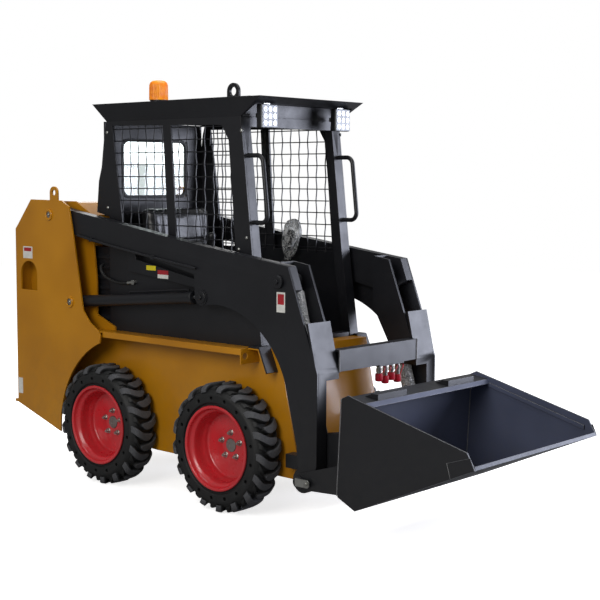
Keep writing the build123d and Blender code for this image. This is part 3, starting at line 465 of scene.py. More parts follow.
def rounded_path(points, radius, steps=6):
    """Straight runs joined by arcs: each corner becomes a quadratic curve of the given reach."""
    points = np.asarray(points, float)
    path = [points[0]]
    for before, corner, after in zip(points, points[1:], points[2:]):
        back, on = before - corner, after - corner
        reach = min(radius, np.linalg.norm(back) * 0.48, np.linalg.norm(on) * 0.48)
        start = corner + back / np.linalg.norm(back) * reach
        end = corner + on / np.linalg.norm(on) * reach
        t = np.linspace(0, 1, steps)[:, None]
        path.extend((1 - t) ** 2 * start + 2 * t * (1 - t) * corner + t ** 2 * end)
    path.append(points[-1])
    return np.array(path)


def closed_rings(shell, rings):
    """Adds a stack of rings in millimetres, of shape (rows, count, 3), as a tube with flat ends."""
    around = list(range(rings.shape[1]))
    shell.grid(rings * MM, wrap_columns=True)
    shell.put(rings[0] * MM, [around[::-1]])
    shell.put(rings[-1] * MM, [around])


def closed_bar(shell, path, radius, sides=10):
    """Adds a round bar along a path, in millimetres."""
    closed_rings(shell, swept(path, radius, sides))


def closed_lathe(shell, profile, centre, axis, count=32):
    """Adds a lathe form from (radius, height) rows in millimetres; flat faces close its ends."""
    closed_rings(shell, turned(profile, centre, axis, count))


def block(shell, x, y, z):
    """Adds a box from three pairs of places in millimetres."""
    spans = np.sort(np.array([x, y, z], float)) * MM
    corners = [(spans[0, i], spans[1, j], spans[2, k]) for i in (0, 1) for j in (0, 1) for k in (0, 1)]
    shell.put(corners, [(0, 1, 3, 2), (4, 6, 7, 5), (0, 4, 5, 1), (2, 3, 7, 6), (0, 2, 6, 4), (1, 5, 7, 3)])


# %% [markdown]
# ## Tyres
# A solid skid steer tyre is moulded in one go: a plain carcass, round cooling holes near the
# shoulder, and two rows of bent lugs that meet in a V and are set half a pitch apart. One lug is
# a short table of rows: how far each lies from the middle of the tread, and where its two flanks
# run. The same two lengths bend every row round the shoulder, so the lug hugs the tyre.

# %% Tread and carcass sizes
LUG_COUNT = 17
TREAD_RADIUS = 290.0
# Rows of a lug in millimetres: distance from the middle of the tread towards its own shoulder, and
# the two flanks' places along the tread.
LUG_ROWS = np.array([(-31, -13, -4), (-26, -20, -1.5), (-17, -28, -0.7), (-6, -34, 0), (4, -33.6, 1.2),
                     (14, -32, 4), (24, -28, 7.5), (34, -22.5, 13), (44, -16.5, 19.5), (53, -11, 25.5),
                     (61, -6, 31), (69, 0, 37), (77, 5.5, 41), (86, 9.5, 44), (96, 12, 46)], float)
# The half-height step at the shoulder between two lugs, in the same way.
STEP_ROWS = np.array([(24, -66, -57), (34, -62, -50), (44, -58, -42), (54, -52, -33), (64, -45, -22),
                      (76, -42, -12), (86, -40, -9)], float)
STEP_DEPTH = 12.5
# The lugs' outer skin, in millimetres: length from the middle of the tread, radius, distance across.
SKIN = np.array([(0, 290.0, 0), (38, 289.6, 38), (50, 287.5, 49.8), (62, 282, 60), (72, 274.5, 67),
                 (82, 265.5, 71), (92, 255.5, 72.4), (104, 243.5, 72.5)])
# The carcass in millimetres, radius and distance across: over the tread, and round the bead.
CARCASS_TREAD = np.array([(236, 72.3), (241, 71.5), (247, 68), (255, 61), (262, 53), (266, 44), (267.5, 30),
                          (268, 0)])
CARCASS_BEAD = np.array([(211, 72.3), (205, 71.2), (202, 68), (201, 63), (199, 61.3), (180.4, 61.3)])
COLUMNS = 8
# A cooling hole: its circle on the side wall, and rings that grow past its radius and lie that deep.
HOLE_PLACE, HOLE_RADIUS = 223.5, 8.4
HOLE_RINGS = ((1.2, 0.0), (0.3, 0.4), (0.0, 1.4), (-0.6, 22.0))
LUG_LEAD = 0.1
# Rings of a raised block from its face to its buried foot: how far it grows, how deep it lies,
# and how scuffed it is.
BLOCK_EDGE = ((-0.6, 0.6, 1.0), (0.3, 2.2, 0.4), (1.4, 11.0, 0.0), (3.0, 27.0, 0.0))
BLOCK_INSET, BLOCK_COLUMNS = 1.8, 5


def skin_point(along, across, depth):
    """Tread lengths to (turn, radius, across): bent round by 'along', over the shoulder by 'across'."""
    reach = np.abs(across)
    tilt = np.interp(reach, (36, 60, 96), (0.0, 0.8, np.pi / 2))
    radius = np.interp(reach, SKIN[:, 0], SKIN[:, 1]) - depth * np.cos(tilt)
    sideways = np.interp(reach, SKIN[:, 0], SKIN[:, 2]) - depth * np.sin(tilt)
    return np.stack([along / TREAD_RADIUS, radius, np.sign(across) * sideways], -1)


def rim_of(face):
    """The border of a grid of points, in order."""
    return np.concatenate([face[0, :-1], face[:-1, -1], face[-1, :0:-1], face[:0:-1, 0]])


def raised_block(rows, side, top_depth):
    """A raised block of the tread: its face as a grid, and rings from the face's rim to its foot."""
    along = rows[:, 1:2] + (rows[:, 2:3] - rows[:, 1:2]) * np.linspace(0, 1, BLOCK_COLUMNS)
    face = np.stack([along, np.repeat(rows[:, :1], BLOCK_COLUMNS, 1)], -1)
    rim = rim_of(face)
    forward = np.roll(rim, -1, 0) - np.roll(rim, 1, 0)
    out = np.stack([forward[:, 1], -forward[:, 0]], -1)
    out /= np.linalg.norm(out, axis=1, keepdims=True)
    if ((rim - face.mean((0, 1))) * out).sum() < 0:
        out = -out
    width = np.maximum(np.ptp(along, axis=1), 3 * BLOCK_INSET)[:, None]
    middle = along.mean(1, keepdims=True)
    inner = face.copy()
    inner[..., 0] = middle + (along - middle) * (1 - 2 * BLOCK_INSET / width)
    inner[0, :, 1] += BLOCK_INSET
    inner[-1, :, 1] -= BLOCK_INSET
    top = skin_point(inner[..., 0], side * inner[..., 1], top_depth)
    rings, marks = [rim_of(top)], [np.ones(len(rim))]
    for grow, depth, mark in BLOCK_EDGE:
        grown = rim + out * grow
        rings.append(skin_point(grown[:, 0], side * grown[:, 1], top_depth + depth))
        marks.append(np.full(len(rim), mark))
    return top, np.array(rings), np.concatenate(marks)


def hole_patch(index, side):
    """Rings of one cooling hole, from its square patch of side wall down to its floor."""
    turns = (index + np.linspace(0, 1, COLUMNS + 1)) * 2 * np.pi / LUG_COUNT
    outer, inner = CARCASS_TREAD[0, 0], CARCASS_BEAD[0, 0]
    sides = np.linspace(outer, inner, 4)[1:-1]
    border = np.array([(t, outer) for t in turns] + [(turns[-1], r) for r in sides]
                      + [(t, inner) for t in turns[::-1]] + [(turns[0], r) for r in sides[::-1]])
    middle = turns.mean()
    heading = np.arctan2(border[:, 1] - HOLE_PLACE, (border[:, 0] - middle) * HOLE_PLACE)
    rings = [np.stack([border[:, 0], border[:, 1], np.full(len(border), side * CARCASS_TREAD[0, 1])], -1)]
    for grow, depth in HOLE_RINGS:
        radius = HOLE_RADIUS + grow
        rings.append(np.stack([middle + radius * np.cos(heading) / HOLE_PLACE,
                               HOLE_PLACE + radius * np.sin(heading),
                               np.full(len(border), side * (CARCASS_TREAD[0, 1] - depth))], -1))
    return np.array(rings)


def tyre(end, side_name, phase):
    """Carcass, lugs and cooling holes of one tyre, standing for its CAD node."""
    low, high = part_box(f"tyre_{end}_{side_name}")
    centre = (np.array(low) + np.array(high)) / 2
    shell, scuff = Shell(), []

    def put(grid, marks=None, closed=True):
        """Adds a grid of (turn, radius, across) in millimetres, and its scuff marks."""
        turn = grid[..., 0] + phase
        radius, across = grid[..., 1] * MM, grid[..., 2] * MM
        points = np.stack([centre[0] + radius * np.cos(turn), centre[1] + across,
                           centre[2] + radius * np.sin(turn)], -1)
        shell.grid(points, wrap_columns=closed)
        scuff.append(np.zeros(grid.shape[0] * grid.shape[1]) if marks is None else marks)
        return points

    turns = np.arange(LUG_COUNT * COLUMNS) * 2 * np.pi / (LUG_COUNT * COLUMNS)
    for half in (CARCASS_TREAD, CARCASS_BEAD):
        shared = int(half[-1, 1] == 0)
        section = np.concatenate([half, half[::-1][shared:] * (1, -1)])
        put(np.stack(np.broadcast_arrays(turns[None, :], section[:, :1], section[:, 1:]), -1))
    pitch = 2 * np.pi / LUG_COUNT
    for row, side in enumerate((1, -1)):
        blocks = [raised_block(LUG_ROWS, side, 0.0), raised_block(STEP_ROWS, side, STEP_DEPTH)]
        for index in range(LUG_COUNT):
            start = np.array([(index + 0.5 - 0.5 * row) * pitch - LUG_LEAD, 0, 0])
            for scuffed, (top, rings, marks) in zip((1.0, 0.0), blocks):
                put(top + start, np.full(top.shape[0] * top.shape[1], scuffed), closed=False)
                foot = put(rings + start, marks * scuffed)[-1]
                shell.put(foot, [list(range(len(foot)))])
                scuff.append(np.zeros(len(foot)))
            floor_ring = put(hole_patch(index, side))[-1]
            shell.put(floor_ring, [list(range(len(floor_ring)))])
            scuff.append(np.zeros(len(floor_ring)))
    return shell.made(f"tyre_cut_{end}_{side_name}", RUBBER, f"wheel_{end}_{side_name}",
                      [f"tyre_{end}_{side_name}"], angle=30, marks=np.concatenate(scuff))


TYRE_PHASES = {("front", "right"): 0.0, ("front", "left"): 0.11,
               ("rear", "right"): 0.05, ("rear", "left"): 0.21}
tyres = [tyre(end, side, TYRE_PHASES[end, side]) for end, side in WHEELS]
print("tyres", [len(t.data.polygons) for t in tyres])

# %% [markdown]
# ## Plates, sheets and their edges
# Most of the loader is laser-cut plate whose edges are ground before paint. The CAD triangles of a
# node are merged back into whole faces in a copy, and a live Bevel rounds every edge of it; a
# plain CAD edge would be a razor line that never catches light. New plates come from a side-view
# outline that is filled round its holes, and bent sheets from a path that is moved sideways.

# %% Softened copies of the CAD nodes
BODY_OF = {node: body for body, empty in frame["bodies"].items() for node in NODES
           if NODES[node].parent == empty}
TRIM_EDGE = 0.9


def merged(mesh):
    """Doubles welded and flat triangles merged into whole faces."""
    work = bmesh.new()
    work.from_mesh(mesh)
    bmesh.ops.remove_doubles(work, verts=work.verts, dist=WELD_GAP)
    bmesh.ops.dissolve_limit(work, angle_limit=math.radians(0.4), verts=work.verts, edges=work.edges)
    work.to_mesh(mesh)
    work.free()


def softened(node, finish, width_mm=TRIM_EDGE):
    """A copy of a CAD node with whole faces and rounded edges, standing for the node."""
    mesh = bpy.data.meshes.new(f"{node}_finished")
    copy = bmesh.new()
    copy.from_mesh(NODES[node].data)
    copy.to_mesh(mesh)
    copy.free()
    merged(mesh)
    soften(placed(f"{node}_finished", mesh, finish, BODY_OF[node], [node]), width_mm)


def inside(spot, loop):
    """Whether a point lies inside a loop, by counting the edges to its right."""
    crossed = 0
    for (ax, ay), (bx, by) in zip(loop, (*loop[1:], loop[0])):
        if (ay > spot[1]) != (by > spot[1]):
            crossed += spot[0] < ax + (spot[1] - ay) / (by - ay) * (bx - ax)
    return crossed % 2 == 1


def plate(shell, outline, one, two, holes=()):
    """A plate between two places across the machine, in millimetres: an outline filled round its
    holes, on both faces, and a wall along each edge."""
    flat, edges, count = [], [], 0
    for loop in (outline, *holes):
        flat.extend(Vector(p) for p in loop)
        edges.extend((count + i, count + (i + 1) % len(loop)) for i in range(len(loop)))
        count += len(loop)
    spots, _, faces = delaunay_2d_cdt(flat, edges, [], 1, 1e-6)[:3]
    spots = np.array([tuple(s) for s in spots])
    faces = [face for face in faces if not any(inside(spots[list(face)].mean(0), hole) for hole in holes)]
    for y, order in ((one, 1), (two, -1)):
        points = np.stack([spots[:, 0], np.full(len(spots), y), spots[:, 1]], -1) * MM
        shell.put(points, [tuple(face)[::order] for face in faces])
    for loop in (outline, *holes):
        loop = np.array(loop, float)
        wall = np.stack([np.stack([loop[:, 0], np.full(len(loop), y), loop[:, 1]], -1) for y in (one, two)])
        shell.grid(wall * MM, wrap_columns=True)


def bent(path, thickness):
    """The closed outline of a bent sheet: a path, and the same path moved to its right."""
    path = np.array(path, float)
    runs = np.diff(path, axis=0)
    runs /= np.linalg.norm(runs, axis=1, keepdims=True)
    normals = np.stack([runs[:, 1], -runs[:, 0]], -1)
    means = np.concatenate([normals[:1], (normals[:-1] + normals[1:]) / 2, normals[-1:]])
    moved = path + thickness * means / (means ** 2).sum(1, keepdims=True)
    return path.tolist() + moved[::-1].tolist()


def arc_through(one, middle, two, steps=24):
    """Points on the circle through three points."""
    one, middle, two = (np.array(p, float) for p in (one, middle, two))
    sides = np.array([middle - one, two - one])
    centre = one + np.linalg.solve(2 * sides, (sides ** 2).sum(1))
    turns = np.unwrap([math.atan2(*(p - centre)[::-1]) for p in (one, middle, two)])
    spread = np.linspace(turns[0], turns[2], steps)
    return centre + math.dist(one, centre) * np.stack([np.cos(spread), np.sin(spread)], -1)


def cut_piece(shell, name, finish, body, replaces, width_mm=1.2):
    """A piece of cut plate: whole faces, and soft edges."""
    piece = shell.made(name, finish, body, replaces)
    merged(piece.data)
    return soften(piece, width_mm)


# %% [markdown]
# ## Body, uprights and cab
# The cab sides are one cut sheet each, with two window holes and a leaning post between them. The
# uprights are two arched plates a side. Bosses are turned rings welded on, with the pin's end
# set back inside and a bolt through it.

# %% Worn edges with painted highlight, and painted plates
# Light steel for the bucket's rounded edges: partly worn enamel, partly a painted highlight of the bright
# lines along them.
WORN_AND_HIGHLIGHT_EDGE = bare_metal("enamel_worn_and_painted_highlight_edge", "#77787c", "#4c4d52", 0.42, 12, metallic=0.6)
WELD = bare_metal("weld_bead", "#8b8b8d", "#5a5a5e", 0.5, 4, depth=0.4, metallic=0.8)
for node in ("body_side_walls", "belly_pan", "front_sheet", "side_ledges", "upright_inner_plates",
             "upright_rear_webs", "engine_cover", "rear_door"):
    softened(node, OCHRE)
for node in ("cab_front_frame", "cab_rear_wall", "cab_floor", "roof_panel", "louvre_panels", "arm_left",
             "arm_right", "arm_crossbar", "hitch_frame", "tilt_barrels"):
    softened(node, CHARCOAL)

CAB_SIDE = [(-790.4, 740), (-790.4, 1289.6), (-882, 1307.7), (-866.5, 1458.1), (-844.5, 1525.3),
            (-820.2, 1694.9), (-805.8, 1743), (93.9, 1743), (163.5, 1139.2), (222, 740)]
REAR_WINDOW = [(-765, 1722), (-406.7, 1715.2), (-367.7, 1130), (-674.4, 1130)]
FRONT_WINDOW = [(-352.7, 1714), (-23.1, 1708), (20, 1640), (66.3, 1130), (-313.7, 1130)]
CAB_INNER, CAB_FACE = 322.0, 332.0
for name, side in SIDES:
    shell = Shell()
    plate(shell, CAB_SIDE, side * CAB_INNER, side * CAB_FACE, [REAR_WINDOW, FRONT_WINDOW])
    cut_piece(shell, f"cab_side_sheet_{name}", CHARCOAL, "root", [f"cab_side_{name}"])

EAR_X, EAR_Z, EAR_RADIUS, EAR_BORE = -1095.2, 1400.0, 31.0, 14.0
EAR_TURNS = np.linspace(np.pi, 0, 17)
EAR = [(EAR_X + EAR_RADIUS * math.cos(t), EAR_Z + EAR_RADIUS * math.sin(t)) for t in EAR_TURNS]
EAR_HOLE = [(EAR_X + EAR_BORE * math.cos(t), EAR_Z + EAR_BORE * math.sin(t))
            for t in np.linspace(0, 2 * np.pi, 33)[:-1]]
UPRIGHT = [(-1411, 324.5), (-1411, 1215.4), (-1389.2, 1238.6), (-1280.1, 1365),
           (EAR_X - EAR_RADIUS, 1363.6), *EAR, (EAR_X + EAR_RADIUS, 1363.2), (-1034.2, 1362.7),
           (-978.7, 1333.7), (-943, 1166.6), (-886.2, 872), (-878.9, 832.6), (-826, 776.9),
           (-765.2, 743.2), (-750, 718.9)]
ARCH = arc_through((-755.3, 684.1), (-939, 556.5), (-1062, 215.4)).tolist()
WINDOW_X, WINDOW_HALF, WINDOW_LOW, WINDOW_SPRING = -1303.9, 67.0, 908.7, 988.7
WINDOW_TURNS = np.linspace(0, np.pi, 25)
PEEP_WINDOW = [(WINDOW_X - WINDOW_HALF, WINDOW_LOW), (WINDOW_X + WINDOW_HALF, WINDOW_LOW)] + [
    (WINDOW_X + WINDOW_HALF * c, WINDOW_SPRING + WINDOW_HALF * s)
    for c, s in zip(np.cos(WINDOW_TURNS), np.sin(WINDOW_TURNS))]
UPRIGHT_INNER, UPRIGHT_FACE = 420.0, 430.0
shell = Shell()
for _, side in SIDES:
    plate(shell, UPRIGHT + ARCH, side * UPRIGHT_INNER, side * UPRIGHT_FACE, [PEEP_WINDOW, EAR_HOLE])
    block(shell, (-1435, -1409), (side * 404, side * UPRIGHT_FACE), (324.5, 338.5))
cut_piece(shell, "upright_cut_plates", OCHRE, "root", ["upright_outer_plates"])

# %% Pivot bosses and bolts
# Where the arms and cylinders turn, seen from the side: (forward, up).
PIVOT, LIFT_BASE, LIFT_EYE, TILT_TOP = (-1133.0, 1291.0), (-976.0, 869.0), (-70.0, 948.0), (396.0, 1043.0)
BOSS = [(16.5, -2), (16.5, 6.5), (18, 8), (26, 8), (28, 6), (28, -3)]
PIN_END = [(16.2, -2), (16.2, 2.6), (15.2, 3.4), (0.5, 3.4)]
PIN_BOLT = [(7.5, 3), (8, 4), (8, 8), (7, 9), (0.5, 9)]
bosses, bolts = Shell(), Shell()
for _, side in SIDES:
    for x, z in (PIVOT, LIFT_BASE):
        for shell, profile, count in ((bosses, BOSS, 40), (bolts, PIN_END, 32), (bolts, PIN_BOLT, 6)):
            closed_lathe(shell, profile, (x, side * UPRIGHT_FACE, z), (0, side, 0), count)
bosses.made("upright_boss_rings", OCHRE, "root")

# %% [markdown]
# ## Wheels
# The rim is a rolled steel ring with a stepped well and a flat disc set deep inside, held by
# five nuts. It is one closed lathe section; the nuts are six-sided lathe forms on a loop.

# %% Rims, nuts and spindle ends
RIM_SECTION = [(180, 141), (180, 13), (184, 11.4), (188.6, 11.2), (190.4, 8.6), (190.4, 3.4), (188.4, 0.8),
               (185, 0), (180.4, 0.6), (177.4, 3), (176, 8), (174.8, 15), (171.6, 20.6), (166.6, 24.4),
               (161.4, 27.4), (159, 32), (158.2, 44), (158, 58), (157.2, 72), (154.6, 80), (150.6, 86),
               (148.4, 92), (147, 98.4), (143.6, 103), (138.4, 105), (64, 105), (60, 104), (44, 104),
               (31, 104.4), (31, 134), (58, 134), (58, 116), (160, 115), (166, 118), (169, 124), (170, 132),
               (170, 141)]
NUT_CIRCLE, NUT_COUNT, DISC_DEPTH = 57.5, 5, 105.0
# A washer, a six-sided nut and the stud's end, each with the number of its sides.
NUT_FORMS = (([(13.5, -1), (13.5, 2), (12.6, 2.6), (0.5, 2.6)], 24),
             ([(10.6, 2), (10.9, 3.4), (10.9, 12.4), (9.6, 14), (0.5, 14)], 6),
             ([(5.8, 13), (5.8, 21), (5, 22), (0.5, 22)], 14))
RIM_FACE_Y, BODY_SIDE_Y = 452.0, 298.0
SPINDLE = [(54, 0), (54, 16), (52, 18), (30, 18), (30, 50), (28.6, 52), (12, 52), (11, 50.5), (0.5, 50.5)]


def wheel_centre(end, side_name, y):
    """A wheel's centre in millimetres, at a place across the machine."""
    low, high = box_mm(f"rim_{end}_{side_name}")
    return np.array([(low[0] + high[0]) / 2, y, (low[2] + high[2]) / 2])


spindles = Shell()
for end, side_name in WHEELS:
    side, wheel = dict(SIDES)[side_name], f"{end}_{side_name}"
    hub = wheel_centre(end, side_name, side * RIM_FACE_Y)
    shell, nuts = Shell(), Shell()
    section = np.array(RIM_SECTION, float) * (1, -1)
    shell.grid(turned(section, hub, (0, side, 0), 112) * MM, wrap_rows=True, wrap_columns=True)
    shell.made(f"rim_rolled_{wheel}", RED, f"wheel_{wheel}", [f"rim_{wheel}"], angle=34)
    for index in range(NUT_COUNT):
        turn = 2 * np.pi * (index + 0.25) / NUT_COUNT
        place = hub + (NUT_CIRCLE * math.cos(turn), -side * DISC_DEPTH, NUT_CIRCLE * math.sin(turn))
        for profile, sides in NUT_FORMS:
            closed_lathe(nuts, profile, place, (0, side, 0), sides)
    nuts.made(f"wheel_nuts_{wheel}", ZINC, f"wheel_{wheel}", angle=30)
    closed_lathe(spindles, SPINDLE, wheel_centre(end, side_name, side * BODY_SIDE_Y), (0, side, 0), 48)
spindles.made("axle_spindles", STEEL, "root", ["axle_stubs"], angle=34)
print("rims and nuts", len(WHEELS))

# %% [markdown]
# ## Arms and cylinders
# A lock bar hangs inside each arm, a steel oil pipe is clamped along its outer face, and the lift
# cylinder lies below. The cylinders' barrels are honed tube with a gland nut at the mouth.

# %% Lock bars, pipes and guards
LOCK_BAR = [(-625, 1165), (-580, 1158), (-562, 1092), (-90, 1008), (-90, 972), (-337, 1004), (-621, 1037)]
PIPE, PIPE_Y, PIPE_RADIUS = [(-925, 1196), (-760, 1167), (-500, 1128), (-100, 1075)], 419.5, 6.0
CLAMPS, CLAMP_HALF = ((-821, 1178), (-381, 1112)), 11.0
STEP_GUARD = [(176, 741), (236, 741), (282, 637)]
bars, pipes, guards = Shell(), Shell(), Shell()
for _, side in SIDES:
    plate(bars, LOCK_BAR, side * 355.4, side * 362.4)
    closed_bar(pipes, rounded_path([(x, side * PIPE_Y, z) for x, z in PIPE], 50), PIPE_RADIUS, 12)
    for x, z in CLAMPS:
        block(pipes, (x - CLAMP_HALF, x + CLAMP_HALF), (side * 411.5, side * 427), (z - 9, z + 9))
    plate(guards, bent(STEP_GUARD, -8), side * 297.5, side * 369)
    block(guards, (380, 450), (side * 297, side * 350), (241, 301))
soften(bars.made("arm_lock_bars", CHARCOAL, "arms"), 1.0)
soften(pipes.made("arm_oil_pipes", CHARCOAL, "arms"), 0.8)
soften(guards.made("step_guards_and_stops", CHARCOAL, "root"), 1.2)

# %% Lift barrels
lift_line = np.array([LIFT_EYE[0] - LIFT_BASE[0], 0, LIFT_EYE[1] - LIFT_BASE[1]])
lift_line /= np.linalg.norm(lift_line)
up = np.array([-lift_line[2], 0, lift_line[0]])
BARREL = [(20, 18), (28, 26), (28, 806), (31, 808), (31, 832), (29.5, 834), (24, 836), (14.4, 836),
          (14.4, 700)]
BARREL_Y, EYE = 384.0, [(32, -14), (32, 14)]
# The pipe along a barrel: how far from the barrel's base, and how far above its axis.
BARREL_PIPE = ((395, 30), (400, 36), (420, 36), (790, 36), (806, 32))
barrels = Shell()
for _, side in SIDES:
    base = np.array([LIFT_BASE[0], side * BARREL_Y, LIFT_BASE[1]])
    closed_lathe(barrels, BARREL, base, lift_line, 40)
    closed_lathe(barrels, EYE, base, (0, side, 0), 40)
    closed_bar(barrels, rounded_path([base + lift_line * d + up * h for d, h in BARREL_PIPE], 8), 5, 10)
soften(barrels.made("lift_barrel_tubes", CHARCOAL, "lift_cylinder_barrels", ["lift_barrels"]), 0.6)

# %% Pin heads and bolts on the arms
PIN_CAP = ([(28, -6), (28, 3), (26, 5), (20, 5.4), (0.5, 5.4)], 36)
CAP_BOLT = ([(11, 5), (11.6, 6), (11.6, 12), (10, 13.4), (0.5, 13.4)], 6)
arm_bolts = Shell()
for _, side in SIDES:
    for (x, z), out in ((TILT_TOP, 422), (LIFT_EYE, 416)):
        for profile, sides in (PIN_CAP, CAP_BOLT):
            closed_lathe(arm_bolts, profile, (x, side * out, z), (0, side, 0), sides)
arm_bolts.made("arm_pin_caps", CHARCOAL, "arms", angle=30)
bolts.made("upright_pin_ends", ZINC, "root", angle=30)

# %% [markdown]
# ## Bucket
# The bucket is welded from two side plates and one sheet bent round the heel and the back, with a
# lip turned forward. Sliding earth keeps its rims bright, and their edges carry a light steel
# finish that is partly that wear and partly a painted highlight of the bright edge lines. Its
# inside faces are a lighter lilac grey: a painted reflection of the front light on the charcoal.

# %% Bucket plates
BUCKET_SIDE = [(779.2, 599.9), (811.1, 615), (1380.8, 466.9), (1418, 402.9), (848.3, 150.9), (758.8, 193.9)]
BUCKET_SHEET = [(1317.4, 358.4), (848.3, 150.9), (758.8, 193.9), (779.2, 599.9), (875.8, 587.1), (887.3, 568)]
CUTTER = [(1293, 415), (1397, 449), (1418, 403), (1310, 355.5)]
SIDE_BAR = [(877, 574), (1364, 442), (1364, 424), (877, 556)]
BUCKET_INNER, BUCKET_OUTER, BUCKET_PLATE = 447, 455, 8
shell = Shell()
for _, side in SIDES:
    plate(shell, BUCKET_SIDE, side * BUCKET_INNER, side * BUCKET_OUTER)
    plate(shell, CUTTER, side * BUCKET_OUTER, side * (BUCKET_OUTER + 2))
    plate(shell, SIDE_BAR, side * (BUCKET_INNER - BUCKET_PLATE), side * BUCKET_INNER)
plate(shell, bent(BUCKET_SHEET, BUCKET_PLATE), -BUCKET_INNER, BUCKET_INNER)
piece = cut_piece(shell, "bucket_welded_shell", CHARCOAL, "bucket", ["bucket_shell"], 1.6)
WORN_AND_HIGHLIGHT_INDEX, PAINTED_SHEEN_INDEX = 1, 2
# The bevels take that light steel: wear and painted highlight together.
piece.modifiers["soft_edges"].material = WORN_AND_HIGHLIGHT_INDEX
piece.data.materials.append(WORN_AND_HIGHLIGHT_EDGE)
piece.data.materials.append(BUCKET_PAINTED_SHEEN)
# Faces turned towards the bucket's middle take the lilac grey of painted reflection.
BUCKET_MIDDLE = Vector((1.0, 0, 0.42))
for face in piece.data.polygons:
    within = abs(face.center.y) < (BUCKET_INNER + 0.5) * MM
    if within and face.normal.dot(BUCKET_MIDDLE - face.center) > 0:
        face.material_index = PAINTED_SHEEN_INDEX
hooks = Shell()
for _, side in SIDES:
    block(hooks, (834, 872), (side * 147, side * 340), (584, 612))
    plate(hooks, [(800, 596), (834, 592), (834, 608)], side * 147, side * 340)
soften(hooks.made("bucket_lip_clips", CHARCOAL, "bucket"), 1.6)
SCOURED = bare_metal("scoured_edge_steel", "#5d5e61", "#46474a", 0.55, 9, (1, 6, 1))
softened("cutting_edge", SCOURED, 1.0)


# %% Weld beads
def bead(shell, path, radius=3.4, pitch=5.0):
    """A weld bead: a bar whose radius swells once a pitch, as the molten drops freeze."""
    path = np.array(path, float)
    at = np.concatenate([[0], np.cumsum(np.linalg.norm(np.diff(path, axis=0), axis=1))])
    spread = np.linspace(0, at[-1], max(int(at[-1] / pitch * 4), 4))
    line = np.stack([np.interp(spread, at, path[:, k]) for k in range(3)], -1)
    swell = radius * (1 + 0.22 * np.sin(spread / pitch * 2 * np.pi))
    closed_rings(shell, line[:, None] + (swept(line, 1.0, 7) - line[:, None]) * swell[:, None, None])


welds = Shell()
for _, side in SIDES:
    bead(welds, [(x, side * 446, z) for x, z in ((786.5, 590), (768, 206), (850, 160), (1300, 358))])
    bead(welds, [(756, side * 455.4, 200), (777, side * 455.4, 596)], 2.4)
    bead(welds, [(1293, side * 456, 415), (1310, side * 456, 357)], 1.8)
welds.made("bucket_weld_beads", WELD, "bucket", angle=60)
arm_welds = Shell()
for _, side in SIDES:
    bead(arm_welds, [(611, side * 269, 762), (611, side * 269, 668), (560, side * 269, 666)], 3.2)
arm_welds.made("crossbar_weld_beads", WELD, "arms", angle=60)

# %% Hinge pins
HINGE_PIN = [(26, -3), (26, 11), (24, 13), (0.5, 13)]
FLAG = [(520, 200), (588, 200), (598, 208), (598, 226), (588, 234), (520, 234)]
FLAG_BOLT = [(9, 18), (9.6, 19), (9.6, 25), (8, 26), (0.5, 26)]
pins = Shell()
for _, side in SIDES:
    closed_lathe(pins, HINGE_PIN, (532, side * 428, 217), (0, side, 0), 40)
    plate(pins, FLAG, side * 441, side * 447)
    closed_lathe(pins, FLAG_BOLT, (582, side * 428, 217), (0, side, 0), 6)
soften(pins.made("hinge_pin_flags", ZINC, "bucket"), 0.8)
print("plates done")

# %% [markdown]
# ## Window guards
# The side windows carry a crimped wire screen: each wire dips under and over the ones that cross
# it. A wire is a bar along a sine whose half wave is the pitch, and neighbours are half a wave
# out of step.

# %% Woven wire screens
WIRE_PITCH, WIRE_RADIUS, WIRE_DIP, SCREEN_Y = 56.0, 2.9, 2.6, 317.5
# Where the upright wires start and stop along the machine, and the level ones in height.
WIRE_SPANS = ((-760, 70), (1144, 1722))
SCREEN = np.array([(-773, 1730), (-18, 1715), (29, 1642), (76, 1121), (-682, 1121)], float)


def crossings(value, axis):
    """Where a straight wire enters and leaves the screen's outline."""
    found = []
    for one, two in zip(SCREEN, np.roll(SCREEN, -1, 0)):
        if (one[axis] - value) * (two[axis] - value) < 0:
            share = (value - one[axis]) / (two[axis] - one[axis])
            found.append(one[1 - axis] + share * (two[1 - axis] - one[1 - axis]))
    return (min(found), max(found)) if len(found) > 1 else None


def woven(shell, side):
    """Both layers of crimped wires of one screen."""
    for axis, span_of_wires in enumerate(WIRE_SPANS):
        for number, value in enumerate(np.arange(*span_of_wires, WIRE_PITCH)):
            span = crossings(value, axis)
            if not span:
                continue
            along = np.arange(span[0], span[1], WIRE_PITCH / 6)
            phase = (along - WIRE_SPANS[1 - axis][0]) / WIRE_PITCH * np.pi
            dip = WIRE_DIP * np.cos(phase + np.pi * number) * (1, -1)[axis]
            line = np.empty((len(along), 3))
            line[:, 2 * axis] = value
            line[:, 2 - 2 * axis] = along
            line[:, 1] = side * (SCREEN_Y + dip)
            closed_bar(shell, line, WIRE_RADIUS, 6)


screens = Shell()
for _, side in SIDES:
    woven(screens, side)
screens.made("window_wire_screens", CHARCOAL, "root", ["window_meshes"], angle=60)
print("screens", len(screens.faces), "faces")

# %% [markdown]
# ## Lamps, beacon and rear window
# A work lamp is a square moulded housing with a clear face over nine small reflectors; a beacon
# is a ribbed amber cap on a black foot. The rear window is clear toughened glass in a rubber seal.

# %% Plastics and glass
def moulded(name, base, dark, roughness, clear=0.0, grain_mm=0.9, depth=0.05):
    """Moulded plastic or rubber: two close tones, a fine grain and a share of clearness."""
    made, tree, shader, place = material(name)
    tone = ramp(tree, noise(tree, place, 26, 3.0), 0.35, 0.65)
    tree.links.new(mixed(tree, tone, linear(base), linear(dark)), shader.inputs["Base Color"])
    grain = noise(tree, place, grain_mm, 2.0)
    rough = ramp(tree, grain, 0.3, 0.7, roughness - 0.03, roughness + 0.05)
    tree.links.new(rough, shader.inputs["Roughness"])
    shader.inputs["Transmission Weight"].default_value = clear
    bumped(tree, shader, grain, depth)
    return made


